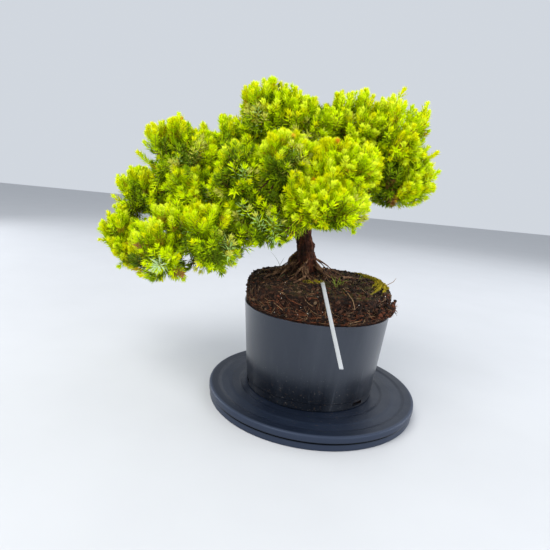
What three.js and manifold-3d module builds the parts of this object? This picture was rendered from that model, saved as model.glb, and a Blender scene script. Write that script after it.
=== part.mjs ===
// A young dwarf juniper growing on as a starter bonsai, in its nursery pot, on a modelling turntable.
// Millimetres, Z up. The origin is at the centre of the turntable's flat underside, and -Y is the front.

import * as THREE from 'three';
import { mergeVertices } from 'three/addons/utils/BufferGeometryUtils.js';
import Module from 'manifold-3d';

const wasm = await Module();
wasm.setup();

const touchGap = 0.3; // between pieces that rest on each other or meet end to end
const limbGap = 0.35; // round a limb that passes through foliage
const roundSides = 28; // round the pot and its soil
const standSides = 32; // round the turntable

// Turntable: a base disc with a centre pin, and the plate that turns on it.
const baseRadius = 123.7;
const baseHeight = 7.6;
const bearingInner = 40;
const bearingOuter = 46;
const bearingTop = 8.5;
const pinRadius = 8;
const pinTop = 11.2;
const plateRadius = 125;
const plateBottom = 8.8;
const plateFloor = 14.9; // where the pot stands
const innerBandTop = 15.9;
const grooveFloor = 15.2;
const rimBandTop = 16.5;
const plateBands = { floor: 86, inner: 99.5, groove: 112 }; // outer radius of each ring
const edgeBevel = 0.8;

// Nursery pot, cut down by hand, so its rim isn't quite level.
const potCentre = new THREE.Vector2(-3, 3);
const potBottom = plateFloor + touchGap;
const potFootRadius = 77;
const potRimRadius = 87;
const potRimHeight = 118;
const potWall = 2;
const potFootRing = 6.5; // width of the ring that it stands on
const potFloor = { under: 17.2, top: 19.4 };
const potFootLedge = 24;
const rimUneven = 2; // lower at the front, higher at the back
const slotCount = 3;
const slotWidth = 16;
const slotHeights = [17.8, 22.2];
const slotTurn = 49; // degrees from the front to the first slot

// Root ball, standing proud of the pot.
const soilEdge = 145.3; // height of its shoulder
const soilDome = 8; // rise of its top towards the middle
const collar = { at: new THREE.Vector2(-20, 2), rise: 5, spread: 26 }; // soil heaped round the trunk's foot
const clod = { at: new THREE.Vector2(1, -31), rise: 3.5, spread: 9 }; // heaped where the marker goes in
const soilRough = 0.7;

// Trunk, limbs and roots.
const trunkFoot = new THREE.Vector3(-20, 2, 158);
const trunkPath = [
  [-20, 2, 150], [-20.5, 2, 168], [-25, 3, 192], [-29, 4, 208],
  [-33, 9, 232], [-45, 14, 262], [-58, 16, 288], [-66, 16, 306],
];
const trunkRadius = { foot: 10.8, fork: 8.2, tip: 2.8 }; // fork: where the lowest boughs leave
const forkShare = 0.4; // of the trunk's length
const flare = { radius: 5.5, height: 0.13 }; // added at the foot, dying away over this share of the length

// Surface roots: degrees from +X, length over the soil, thickness where they leave the trunk.
const surfaceRoots = [
  { name: 'root_left', turn: 203, length: 40, radius: 2.9, sway: -7 },
  { name: 'root_front', turn: 262, length: 34, radius: 2.6, sway: 4 },
  { name: 'root_front_right', turn: 291, length: 28, radius: 2.2, sway: -3 },
  { name: 'root_right_low', turn: 336, length: 46, radius: 2.5, sway: 5 },
  { name: 'root_right', turn: 6, length: 56, radius: 2.6, sway: -8 },
  { name: 'root_back_right', turn: 58, length: 44, radius: 2.6, sway: 6 },
  { name: 'root_back_left', turn: 118, length: 46, radius: 2.8, sway: -6 },
  { name: 'root_left_high', turn: 166, length: 46, radius: 2.4, sway: 6 },
];
const rootTip = 0.9;

// Plant marker, a thin tapering strip pushed into the soil, pointing at the front.
const marker = {
  entry: new THREE.Vector3(2, -43, 151.2),
  end: new THREE.Vector3(22, -208, 124),
  buried: 15,
  widthInner: 4.4,
  widthEnd: 3.1,
  thickness: 1,
};

// Moss: two low pads on the soil.
const mossPads = [
  { name: 'moss_right', at: [64, -6], reach: [13, 27], rise: 2.8, turn: -6 },
  { name: 'moss_front', at: [-9, -37], reach: [8, 5], rise: 1.8, turn: 15 },
];

// Masses of foliage: middle, and the furthest that the needles reach along X, Y and Z.
// Each grows on from a bough that leaves its parent limb at a share of that limb's length.
const masses = [
  { name: 'crest_middle', at: [-79, 15, 338], reach: [39, 42, 34], parent: null },
  { name: 'crest_right', at: [-31, 10, 324], reach: [28, 34, 31],
    parent: 'trunk', leaves: 0.84, radius: 2.6, arch: 2 },
  { name: 'crest_shoulder', at: [-129, 18, 291], reach: [33, 34, 38],
    parent: 'upper_left', leaves: 0.42, radius: 2.4, arch: 5 },
  { name: 'upper_left', at: [-179, 0, 283], reach: [47, 42, 38],
    parent: 'trunk', leaves: 0.73, radius: 4.2, arch: 8 },
  { name: 'upper_right', at: [22, 30, 333], reach: [43, 44, 36],
    parent: 'trunk', leaves: 0.69, radius: 4, arch: -6 },
  { name: 'right_tip', at: [74, 22, 322], reach: [33, 44, 48],
    parent: 'right_low', leaves: 0.5, radius: 3.2, arch: -3 },
  { name: 'right_low', at: [75, 30, 271], reach: [44, 42, 31],
    parent: 'trunk', leaves: 0.43, radius: 4.8, arch: -4 },
  { name: 'right_front', at: [9, -38, 279], reach: [42, 36, 29],
    parent: 'trunk', leaves: 0.53, radius: 3.4, arch: 3 },
  { name: 'low_right', at: [-3, -62, 240], reach: [44, 34, 27],
    parent: 'trunk', leaves: 0.37, radius: 4.2, arch: 3 },
  { name: 'middle_front', at: [-50, -52, 280], reach: [28, 34, 31],
    parent: 'trunk', leaves: 0.61, radius: 3.2, arch: 3 },
  { name: 'middle_left', at: [-99, -45, 264], reach: [27, 34, 34],
    parent: 'trunk', leaves: 0.57, radius: 3.2, arch: 4 },
  { name: 'middle_low', at: [-70, -38, 219], reach: [38, 36, 34],
    parent: 'low_left_inner', leaves: 0.3, radius: 2.6, arch: 2 },
  { name: 'mid_left', at: [-150, -15, 239], reach: [43, 36, 30],
    parent: 'far_left', leaves: 0.34, radius: 2.8, arch: 3 },
  { name: 'far_left', at: [-238, 40, 228], reach: [42, 38, 34],
    parent: 'trunk', leaves: 0.5, radius: 4.6, arch: 12 },
  { name: 'low_left_inner', at: [-124, -55, 191], reach: [36, 36, 40],
    parent: 'trunk', leaves: 0.33, radius: 4.4, arch: 8 },
  { name: 'low_left_outer', at: [-175, -48, 178], reach: [42, 38, 45],
    parent: 'trunk', leaves: 0.42, radius: 4.6, arch: 14 },
  { name: 'far_left_low', at: [-248, 5, 171], reach: [31, 34, 39],
    parent: 'low_left_outer', leaves: 0.45, radius: 3, arch: 8 },
  { name: 'back_left', at: [-170, 74, 264], reach: [52, 44, 38],
    parent: 'trunk', leaves: 0.63, radius: 3.8, arch: 6 },
  { name: 'back_middle', at: [-88, 92, 285], reach: [50, 44, 44],
    parent: 'trunk', leaves: 0.67, radius: 3.2, arch: 4 },
  { name: 'back_right', at: [0, 95, 290], reach: [48, 40, 40],
    parent: 'trunk', leaves: 0.56, radius: 3.6, arch: 3 },
  { name: 'back_low', at: [-50, 72, 236], reach: [46, 38, 26],
    parent: 'trunk', leaves: 0.47, radius: 3, arch: 2 },
];
const boughTip = 0.56; // a bough's tip over its own root
const boughEnters = 0.86; // how far out in its mass a bough ends, 1 being the outside of the mass
const massGap = 0.2; // from a mass to the plane between it and its neighbour
const fullness = 2.5; // power of a mass's outline: 2 is an ellipsoid, more is fuller
const tuftShares = { low: 0.7, high: 0.95 }; // of the reach, between the tufts of a heart and at their tips
const tuftLift = 0.16; // how much the tufts turn upwards
const coreToWall = 0.97; // of the way to the plane between two masses
const spraysTried = 9; // directions round a mass, of which those with room carry a spray
const twigRadius = { fork: 1.6, tip: 1.1 };
const sprayRoot = 0.86; // of the way out through the heart
const sprayTries = [[0.99, 1], [0.95, 0.75], [0.9, 0.5]]; // share of the reach, share of the width
const sprayWidth = 26;
const sprayThickness = 7;
const sprayOutline = [[0, 0], [0.5, 0.68], [0.17, 0.66], [0, 1], [-0.19, 0.7], [-0.5, 0.78]]; // across, along

const paint = {
  stand: { color: 0x3c454f, roughness: 0.42 },
  pot: { color: 0x4b4e52, roughness: 0.55 },
  soil: { color: 0x3a2a20, roughness: 0.95 },
  moss: { color: 0x6d7128, roughness: 0.95 },
  bark: { color: 0x6a4532, roughness: 0.9 },
  marker: { color: 0xdadcdb, roughness: 0.5 },
  needles: { color: 0x93a82c, roughness: 0.7 },
};

// Small helpers

// A repeatable random number from 0 to 1.
function makeRandom(seed) {
  let state = seed >>> 0;
  return () => {
    state = (state + 0x6d2b79f5) >>> 0;
    let mixed = Math.imul(state ^ (state >>> 15), 1 | state);
    mixed = (mixed + Math.imul(mixed ^ (mixed >>> 7), 61 | mixed)) ^ mixed;
    return ((mixed ^ (mixed >>> 14)) >>> 0) / 4294967296;
  };
}

function signedVolume(positions, triangles) {
  let total = 0;
  const corners = [new THREE.Vector3(), new THREE.Vector3(), new THREE.Vector3()];
  for (let i = 0; i < triangles.length; i += 3) {
    corners.forEach((corner, k) => corner.fromArray(positions, triangles[i + k] * 3));
    total += corners[0].dot(corners[1].cross(corners[2])) / 6;
  }
  return total;
}

// A closed geometry as a solid that can be joined and cut.
function toSolid(geometry) {
  const bare = new THREE.BufferGeometry();
  bare.setAttribute('position', geometry.getAttribute('position'));
  bare.setIndex(geometry.getIndex());
  const merged = mergeVertices(bare, 1e-4);
  const positions = new Float32Array(merged.getAttribute('position').array);
  const index = merged.getIndex().array;
  const kept = [];
  for (let i = 0; i < index.length; i += 3) {
    const [a, b, c] = [index[i], index[i + 1], index[i + 2]];
    if (a !== b && b !== c && c !== a) kept.push(a, b, c);
  }
  if (signedVolume(positions, kept) < 0) kept.reverse();
  const mesh = new wasm.Mesh({
    numProp: 3,
    vertProperties: positions,
    triVerts: new Uint32Array(kept),
  });
  return new wasm.Manifold(mesh);
}

function geometryOf(positions, triangles) {
  const geometry = new THREE.BufferGeometry();
  geometry.setAttribute('position', new THREE.Float32BufferAttribute(positions, 3));
  geometry.setIndex([...triangles]);
  return geometry;
}

// The largest connected body of a solid, with no sealed pockets and no loose crumbs.
function mainBody(solid) {
  const mesh = solid.getMesh();
  const triangles = mesh.triVerts;
  const root = Array.from({ length: mesh.vertProperties.length / 3 }, (_, i) => i);
  const find = (i) => {
    while (root[i] !== i) {
      root[i] = root[root[i]];
      i = root[i];
    }
    return i;
  };
  for (let i = 0; i < triangles.length; i += 3) {
    root[find(triangles[i])] = find(triangles[i + 1]);
    root[find(triangles[i + 1])] = find(triangles[i + 2]);
  }
  const bodies = new Map();
  for (let i = 0; i < triangles.length; i += 3) {
    const key = find(triangles[i]);
    if (!bodies.has(key)) bodies.set(key, []);
    bodies.get(key).push(triangles[i], triangles[i + 1], triangles[i + 2]);
  }
  let best = null;
  let bestVolume = 0;
  for (const body of bodies.values()) {
    const volume = signedVolume(mesh.vertProperties, body);
    if (volume > bestVolume) {
      best = body;
      bestVolume = volume;
    }
  }
  return geometryOf(Array.from(mesh.vertProperties), best);
}

function finished(name, solid, look) {
  const geometry = mainBody(solid).toNonIndexed();
  geometry.computeVertexNormals();
  const material = new THREE.MeshStandardMaterial({ ...look, metalness: 0, flatShading: true });
  const mesh = new THREE.Mesh(geometry, material);
  mesh.name = name;
  return mesh;
}

// A profile of [radius, height] points turned about the Z axis.
function turned(profile, sides) {
  const points = profile.map(([radius, height]) => new THREE.Vector2(radius, height));
  return new THREE.LatheGeometry(points, sides).rotateX(Math.PI / 2);
}

// Moves each vertex of a geometry by a function of its position.
function reshape(geometry, change) {
  const position = geometry.getAttribute('position');
  const point = new THREE.Vector3();
  for (let i = 0; i < position.count; i += 1) {
    point.fromBufferAttribute(position, i);
    change(point);
    position.setXYZ(i, point.x, point.y, point.z);
  }
  return geometry;
}

// Turntable

function makeBase() {
  const profile = [
    [0, 0], [baseRadius - edgeBevel, 0], [baseRadius, edgeBevel], [baseRadius, baseHeight - edgeBevel / 2],
    [baseRadius - edgeBevel / 2, baseHeight], [bearingOuter, baseHeight], [bearingOuter, bearingTop],
    [bearingInner, bearingTop], [bearingInner, baseHeight], [pinRadius, baseHeight],
    [pinRadius, pinTop], [0, pinTop],
  ];
  return finished('turntable_base', toSolid(turned(profile, standSides)), paint.stand);
}

function makePlate() {
  const socketRadius = pinRadius + touchGap;
  const socketTop = pinTop + touchGap;
  const profile = [
    [0, socketTop], [socketRadius, socketTop], [socketRadius, plateBottom],
    [plateRadius - edgeBevel, plateBottom], [plateRadius, plateBottom + edgeBevel],
    [plateRadius, rimBandTop - edgeBevel], [plateRadius - edgeBevel, rimBandTop],
    [plateBands.groove, rimBandTop], [plateBands.groove - 0.4, grooveFloor],
    [plateBands.inner + 0.4, grooveFloor], [plateBands.inner, innerBandTop],
    [plateBands.floor + 0.6, innerBandTop], [plateBands.floor, plateFloor], [0, plateFloor],
  ];
  return finished('turntable_plate', toSolid(turned(profile, standSides)), paint.stand);
}

// Pot

function potInnerRadius(height) {
  const share = (height - potBottom) / (potRimHeight - potBottom);
  return THREE.MathUtils.lerp(potFootRadius, potRimRadius, share) - potWall;
}

function makePot() {
  const footInner = potFootRadius - potFootRing;
  const profile = [
    [0, potFloor.under], [footInner - 0.8, potFloor.under], [footInner, potBottom],
    [potFootRadius - 0.6, potBottom], [potFootRadius, potBottom + 0.6],
    [potFootRadius + 0.3, potFootLedge], [potFootRadius + 0.9, potFootLedge + 0.7],
    [potRimRadius, potRimHeight], [potRimRadius - potWall, potRimHeight],
    [potInnerRadius(potFloor.top), potFloor.top], [0, potFloor.top],
  ];
  const wall = reshape(turned(profile, roundSides), (point) => {
    const facing = Math.atan2(point.y, point.x);
    if (point.z > potRimHeight - 1) point.z += rimUneven * Math.sin(facing) + 0.4 * Math.sin(3 * facing);
  });
  let solid = toSolid(wall);
  const [slotLow, slotHigh] = slotHeights;
  for (let i = 0; i < slotCount; i += 1) {
    const slot = new THREE.BoxGeometry(slotWidth, 12, slotHigh - slotLow);
    slot.translate(0, -potFootRadius, (slotLow + slotHigh) / 2);
    slot.rotateZ(THREE.MathUtils.degToRad(slotTurn) + (i * 2 * Math.PI) / slotCount);
    solid = solid.subtract(toSolid(slot));
  }
  const mesh = finished('pot', solid, paint.pot);
  mesh.position.set(potCentre.x, potCentre.y, 0);
  return mesh;
}

// Root ball

// Height of the top of the soil at a place.
function soilTop(x, y) {
  const share = Math.hypot(x - potCentre.x, y - potCentre.y) / potRimRadius;
  const slope = 1.1 * Math.sin(Math.atan2(y - potCentre.y, x - potCentre.x));
  const heap = ({ at, rise, spread }) => {
    const away = Math.hypot(x - at.x, y - at.y) / spread;
    return rise * Math.exp(-away * away);
  };
  const height = soilEdge + slope + soilDome * (1 - share * share) + heap(collar) + heap(clod);
  const seat = Math.hypot(x - trunkFoot.x, y - trunkFoot.y) < trunkRadius.foot + flare.radius + 3;
  return seat ? Math.min(height, trunkFoot.z - touchGap) : height;
}

// The root ball, raised by a small height where a piece is to be cut clear of it.
function soilGeometry(raised = 0) {
  const random = makeRandom(11);
  const bottom = potFloor.top + touchGap;
  const shoulder = potInnerRadius(potRimHeight) - 0.35;
  const rows = [
    { radius: potInnerRadius(bottom) - 0.35, height: bottom },
    { radius: shoulder, height: potRimHeight },
    { radius: shoulder + 0.2, height: potRimHeight + 8, rough: 1 },
    { radius: shoulder + 0.6, height: potRimHeight + 18, rough: 1 },
    { radius: shoulder - 1.6, height: soilEdge - 2.5, rough: 1 },
    ...[0.92, 0.76, 0.57, 0.38, 0.19].map((share) => ({ radius: shoulder * share, top: true })),
  ];
  const positions = [0, 0, bottom + raised];
  rows.forEach(({ radius, height, rough = 0, top }) => {
    for (let k = 0; k < roundSides; k += 1) {
      const angle = (k * 2 * Math.PI) / roundSides;
      const reach = radius + rough * (random() - 0.5) * 2;
      const x = reach * Math.cos(angle);
      const y = reach * Math.sin(angle);
      const bump = (random() - 0.5) * 2 * soilRough;
      const level = top ? soilTop(x + potCentre.x, y + potCentre.y) - Math.abs(bump) : height;
      positions.push(x, y, level + raised);
    }
  });
  positions.push(0, 0, soilTop(potCentre.x, potCentre.y) + raised);
  const last = positions.length / 3 - 1;
  const triangles = [];
  for (let k = 0; k < roundSides; k += 1) {
    const next = (k + 1) % roundSides;
    triangles.push(0, 1 + next, 1 + k);
    for (let row = 0; row < rows.length - 1; row += 1) {
      const low = 1 + row * roundSides;
      const high = low + roundSides;
      triangles.push(low + k, low + next, high + next, low + k, high + next, high + k);
    }
    const top = 1 + (rows.length - 1) * roundSides;
    triangles.push(top + k, top + next, last);
  }
  return geometryOf(positions, triangles).translate(potCentre.x, potCentre.y, 0);
}

// Limbs

// A tapering limb along a curve. grow makes it larger all over, to cut others clear of it.
function limbGeometry({ curve, radiusAt, sides, rings }, grow = 0) {
  const frames = curve.computeFrenetFrames(rings, false);
  const positions = [];
  for (let ring = 0; ring <= rings; ring += 1) {
    const share = ring / rings;
    const centre = curve.getPointAt(share);
    if (ring === 0) centre.addScaledVector(frames.tangents[0], -grow);
    if (ring === rings) centre.addScaledVector(frames.tangents[rings], grow);
    for (let k = 0; k < sides; k += 1) {
      const angle = (k * 2 * Math.PI) / sides;
      const radius = radiusAt(share, angle) + grow;
      const point = centre.clone();
      point.addScaledVector(frames.normals[ring], radius * Math.cos(angle));
      point.addScaledVector(frames.binormals[ring], radius * Math.sin(angle));
      positions.push(point.x, point.y, point.z);
    }
  }
  const triangles = [];
  for (let ring = 0; ring < rings; ring += 1) {
    for (let k = 0; k < sides; k += 1) {
      const next = (k + 1) % sides;
      const low = ring * sides;
      const high = low + sides;
      triangles.push(low + k, low + next, high + next, low + k, high + next, high + k);
    }
  }
  const top = rings * sides;
  for (let k = 1; k < sides - 1; k += 1) {
    triangles.push(0, k + 1, k);
    triangles.push(top, top + k, top + k + 1);
  }
  return geometryOf(positions, triangles);
}

function curveThrough(points) {
  return new THREE.CatmullRomCurve3(points.map((point) => new THREE.Vector3(...point)), false, 'centripetal');
}

function makeTrunkLimb() {
  const { foot, fork, tip } = trunkRadius;
  const radiusAt = (share, angle = 0) => {
    const low = Math.min(share / forkShare, 1);
    const high = Math.max((share - forkShare) / (1 - forkShare), 0);
    const taper = foot + (fork - foot) * low + (tip - fork) * high;
    const spread = flare.radius * Math.exp(-((share / flare.height) ** 2));
    const buttress = 0.65 + 0.35 * Math.cos(5 * angle + 0.6);
    const flute = 1 + 0.06 * Math.cos(3 * angle + 9 * share);
    return taper * flute + spread * buttress;
  };
  return { name: 'trunk', curve: curveThrough(trunkPath), radiusAt, sides: 12, rings: 17 };
}

function massNamed(name) {
  return masses.find((mass) => mass.name === name);
}

// The bough that carries a mass, from the middle of its parent limb to where it enters the mass.
function makeBoughLimb(mass, parent) {
  const from = parent.curve.getPointAt(mass.leaves);
  const centre = new THREE.Vector3(...mass.at);
  const inward = from.clone().sub(centre);
  const reach = new THREE.Vector3(...mass.reach);
  const span = inward.clone().divide(reach).length();
  const to = centre.addScaledVector(inward, Math.min(boughEnters / span, 0.6));
  const random = makeRandom(mass.at[0] * 7 + mass.at[2]);
  const across = new THREE.Vector3(-inward.y, inward.x, 0).normalize();
  const points = [from];
  [0.2, 0.45, 0.72].forEach((share) => {
    const point = from.clone().lerp(to, share);
    point.z += mass.arch * Math.sin(Math.PI * share) + (random() - 0.5) * 2;
    point.addScaledVector(across, (random() - 0.5) * 0.07 * inward.length());
    points.push(point);
  });
  points.push(to);
  const curve = curveThrough(points.map((point) => point.toArray()));
  const radiusAt = (share) => mass.radius * (1 - (1 - boughTip) * share);
  const rings = Math.max(4, Math.round(curve.getLength() / 26));
  return { name: `bough_${mass.name}`, curve, radiusAt, sides: 6, rings };
}

// A root that leaves the trunk's foot and runs out over the soil, half sunk in it.
function makeRootLimb({ name, turn, length, radius, sway }) {
  const angle = THREE.MathUtils.degToRad(turn);
  const random = makeRandom(turn);
  const points = [];
  [0, 0.14, 0.32, 0.55, 0.78, 1].forEach((share) => {
    const along = 5 + share * (length + 8);
    const aside = sway * Math.sin(share * 4) + (random() - 0.5) * 2;
    const x = trunkFoot.x + along * Math.cos(angle) - aside * Math.sin(angle);
    const y = trunkFoot.y + along * Math.sin(angle) + aside * Math.cos(angle);
    const thick = THREE.MathUtils.lerp(radius, rootTip, share);
    const ground = soilTop(x, y) + thick * 0.4;
    const fall = Math.max(0, 1 - share / 0.32);
    points.push([x, y, ground + fall * (trunkFoot.z + 8 - ground)]);
  });
  const radiusAt = (share) => THREE.MathUtils.lerp(radius, rootTip, share);
  return { name, curve: curveThrough(points), radiusAt, sides: 6, rings: 7 };
}

// Foliage

// The length of a vector in the measure that makes the outline of a mass.
function measure(vector, power) {
  const sum = Math.abs(vector.x) ** power + Math.abs(vector.y) ** power + Math.abs(vector.z) ** power;
  return sum ** (1 / power);
}

// How far the outline of a mass goes from its middle in a direction.
function outlineAlong(reach, direction) {
  return 1 / measure(direction.clone().divide(reach), fullness);
}

// The planes that part a mass from its neighbours, so that each keeps to its own space.
function cellOf(mass) {
  const centre = new THREE.Vector3(...mass.at);
  const reach = new THREE.Vector3(...mass.reach);
  const supportPower = fullness / (fullness - 1);
  const walls = [];
  masses.filter((other) => other !== mass).forEach((other) => {
    const toOther = new THREE.Vector3(...other.at).sub(centre);
    const distance = toOther.length();
    const normal = toOther.divideScalar(distance);
    const mine = measure(normal.clone().multiply(reach), supportPower);
    const theirs = measure(normal.clone().multiply(new THREE.Vector3(...other.reach)), supportPower);
    if (mine + theirs > distance) {
      walls.push({ normal, offset: (distance * mine) / (mine + theirs) - massGap });
    }
  });
  return { centre, reach, walls };
}

// How far the space of a mass goes from its middle in a direction.
function reachAlong(cell, direction) {
  let reach = outlineAlong(cell.reach, direction);
  cell.walls.forEach(({ normal, offset }) => {
    const facing = normal.dot(direction);
    if (facing > 1e-6) reach = Math.min(reach, offset / facing);
  });
  return reach;
}

function inside(cell, point) {
  const from = point.clone().sub(cell.centre);
  if (measure(from.clone().divide(cell.reach), fullness) > 1) return false;
  return cell.walls.every(({ normal, offset }) => normal.dot(from) < offset);
}

// How far the heart of a mass goes in a direction, at a share of the whole reach.
function coreAlong(cell, direction, share) {
  return Math.min(outlineAlong(cell.reach, direction) * share, reachAlong(cell, direction) * coreToWall);
}

// The dense heart of a mass: a ball drawn out into tufts at the corners and face middles of an icosahedron.
function coreGeometry(cell) {
  const tufts = [new THREE.IcosahedronGeometry(1), new THREE.DodecahedronGeometry(1)].flatMap((solid) => {
    const position = solid.getAttribute('position');
    const corners = Array.from({ length: position.count });
    return corners.map((_, i) => new THREE.Vector3().fromBufferAttribute(position, i));
  });
  return reshape(new THREE.IcosahedronGeometry(1, 2), (point) => {
    const direction = point.clone().normalize();
    const isTuft = tufts.some((tuft) => tuft.distanceTo(direction) < 0.05);
    const wave = Math.sin(9 * direction.x + cell.centre.x) * Math.cos(7 * direction.y + cell.centre.z);
    if (isTuft) direction.z += tuftLift;
    direction.normalize();
    const share = (isTuft ? tuftShares.high : tuftShares.low) + 0.06 * wave;
    point.copy(direction).multiplyScalar(coreAlong(cell, direction, share)).add(cell.centre);
  });
}

// A toothed blade of needles, thickest in the middle.
function sprayGeometry(root, tip, width, roll) {
  const along = tip.clone().sub(root);
  const length = along.length();
  along.divideScalar(length);
  const level = Math.abs(along.z) > 0.9 ? new THREE.Vector3(1, 0, 0) : new THREE.Vector3(0, 0, 1);
  const across = level.cross(along).normalize().applyAxisAngle(along, roll);
  const outward = along.clone().cross(across);
  const place = (side, forward, out) => root.clone()
    .addScaledVector(across, side * width)
    .addScaledVector(along, forward * length)
    .addScaledVector(outward, out);
  const points = sprayOutline.map(([side, forward]) => place(side, forward, 0));
  points.push(place(0, 0.52, sprayThickness / 2), place(0, 0.52, -sprayThickness / 2));
  const count = sprayOutline.length;
  const triangles = [];
  for (let i = 0; i < count; i += 1) {
    const next = (i + 1) % count;
    triangles.push(i, next, count, next, i, count + 1);
  }
  return { points, geometry: geometryOf(points.flatMap((point) => point.toArray()), triangles) };
}

function clearOfLimbs(points, limbs) {
  return limbs.every(({ samples }) => points.every((point) => (
    samples.every(({ at, radius }) => at.distanceTo(point) > radius + 0.8)
  )));
}

// Directions spread evenly round a ball.
function spread(count) {
  const golden = Math.PI * (3 - Math.sqrt(5));
  return Array.from({ length: count }, (_, i) => {
    const z = 1 - (2 * i + 1) / count;
    const ring = Math.sqrt(1 - z * z);
    return new THREE.Vector3(ring * Math.cos(i * golden), ring * Math.sin(i * golden), z);
  });
}

// The stem of a mass, which grows on from its bough's tip to the middle of the mass.
function makeStemLimb(mass, carrier) {
  const start = carrier.curve.getPointAt(1);
  const end = start.clone().lerp(new THREE.Vector3(...mass.at), 0.9);
  const radius = carrier.radiusAt(1) * 0.95;
  const curve = new THREE.LineCurve3(start, end);
  return { name: mass.name, curve, radiusAt: () => radius, sides: 6, rings: 1 };
}

// A three-sided twig, from the fork at the end of a mass's stem to the root of a spray.
function makeTwigLimb(fork, root) {
  const radiusAt = (share) => THREE.MathUtils.lerp(twigRadius.fork, twigRadius.tip, share);
  return { curve: new THREE.LineCurve3(fork, root), radiusAt, sides: 3, rings: 1 };
}

// limbs holds the trunk, the boughs and the other masses' stems, which this mass is cut clear of.
function makeMass(mass, stem, limbs) {
  const cell = cellOf(mass);
  const random = makeRandom(Math.round(mass.at[0] * 13 + mass.at[1] * 5 + mass.at[2]) + 5000);
  const fork = stem.curve.getPointAt(1);
  let solid = toSolid(coreGeometry(cell)).add(toSolid(limbGeometry(stem)));
  const turn = random() * 6;
  spread(spraysTried).forEach((direction) => {
    direction.applyAxisAngle(new THREE.Vector3(0, 0, 1), turn);
    direction.x += (random() - 0.5) * 0.3;
    direction.y += (random() - 0.5) * 0.3;
    direction.z += (random() - 0.5) * 0.3;
    direction.normalize();
    const rooted = coreAlong(cell, direction, tuftShares.low) * sprayRoot;
    const root = cell.centre.clone().addScaledVector(direction, rooted);
    const twig = limbGeometry(makeTwigLimb(fork, root));
    const rising = direction.clone();
    rising.z += 0.28;
    rising.normalize();
    const roll = (random() - 0.5) * 2.4;
    const width = sprayWidth * (0.85 + 0.3 * random());
    const reach = outlineAlong(cell.reach, rising);
    for (const [share, narrow] of sprayTries) {
      const tip = cell.centre.clone().addScaledVector(rising, reach * share);
      const spray = sprayGeometry(root, tip, width * narrow, roll);
      const fits = spray.points.every((point) => inside(cell, point));
      if (fits && clearOfLimbs(spray.points, limbs)) {
        solid = solid.add(toSolid(twig)).add(toSolid(spray.geometry));
        break;
      }
    }
  });
  const box = new THREE.Box3().setFromCenterAndSize(cell.centre, cell.reach.clone().multiplyScalar(2));
  limbs.filter((limb) => limb.box.intersectsBox(box)).forEach((limb) => {
    solid = solid.subtract(toSolid(limbGeometry(limb, limbGap)));
  });
  return finished(`foliage_${mass.name}`, solid, paint.needles);
}

// Marker and moss

function makeMarkerGeometry(grow = 0) {
  const { entry, end, buried, widthInner, widthEnd, thickness } = marker;
  const along = end.clone().sub(entry).normalize();
  const inner = entry.clone().addScaledVector(along, -buried - grow);
  const outer = end.clone().addScaledVector(along, grow);
  const across = new THREE.Vector3(0, 0, 1).cross(along).normalize();
  const upward = along.clone().cross(across);
  const corner = (from, width, side, level) => from.clone()
    .addScaledVector(across, side * (width / 2 + grow))
    .addScaledVector(upward, level * (thickness / 2 + grow));
  const positions = [];
  [[inner, widthInner], [outer, widthEnd]].forEach(([from, width]) => {
    [[-1, -1], [1, -1], [1, 1], [-1, 1]].forEach(([side, level]) => {
      positions.push(...corner(from, width, side, level).toArray());
    });
  });
  const triangles = [0, 1, 2, 0, 2, 3, 4, 6, 5, 4, 7, 6];
  for (let k = 0; k < 4; k += 1) {
    const next = (k + 1) % 4;
    triangles.push(k, 4 + k, 4 + next, k, 4 + next, next);
  }
  return geometryOf(positions, triangles);
}

function makeMoss({ name, at, reach, rise, turn }, raisedSoil, roots) {
  const pad = new THREE.IcosahedronGeometry(1, 2);
  reshape(pad, (point) => {
    const lump = 1 + 0.1 * Math.sin(5 * point.x) * Math.cos(4 * point.y);
    point.set(point.x * reach[0] * lump, point.y * reach[1] * lump, point.z * 9);
  });
  pad.rotateZ(THREE.MathUtils.degToRad(turn)).translate(at[0], at[1], 0);
  reshape(pad, (point) => {
    point.z += soilTop(point.x, point.y) + rise - 9;
  });
  let solid = toSolid(pad).subtract(raisedSoil);
  roots.forEach((root) => {
    solid = solid.subtract(toSolid(limbGeometry(root, limbGap)));
  });
  return finished(name, solid, paint.moss);
}

// Assembly

function withSamples(limb) {
  const steps = Math.ceil(limb.curve.getLength() / 3);
  const samples = Array.from({ length: steps + 1 }, (_, i) => ({
    at: limb.curve.getPointAt(i / steps),
    radius: limb.radiusAt(i / steps, 0),
  }));
  const geometry = limbGeometry(limb, limbGap);
  geometry.computeBoundingBox();
  return { ...limb, samples, box: geometry.boundingBox };
}

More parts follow.
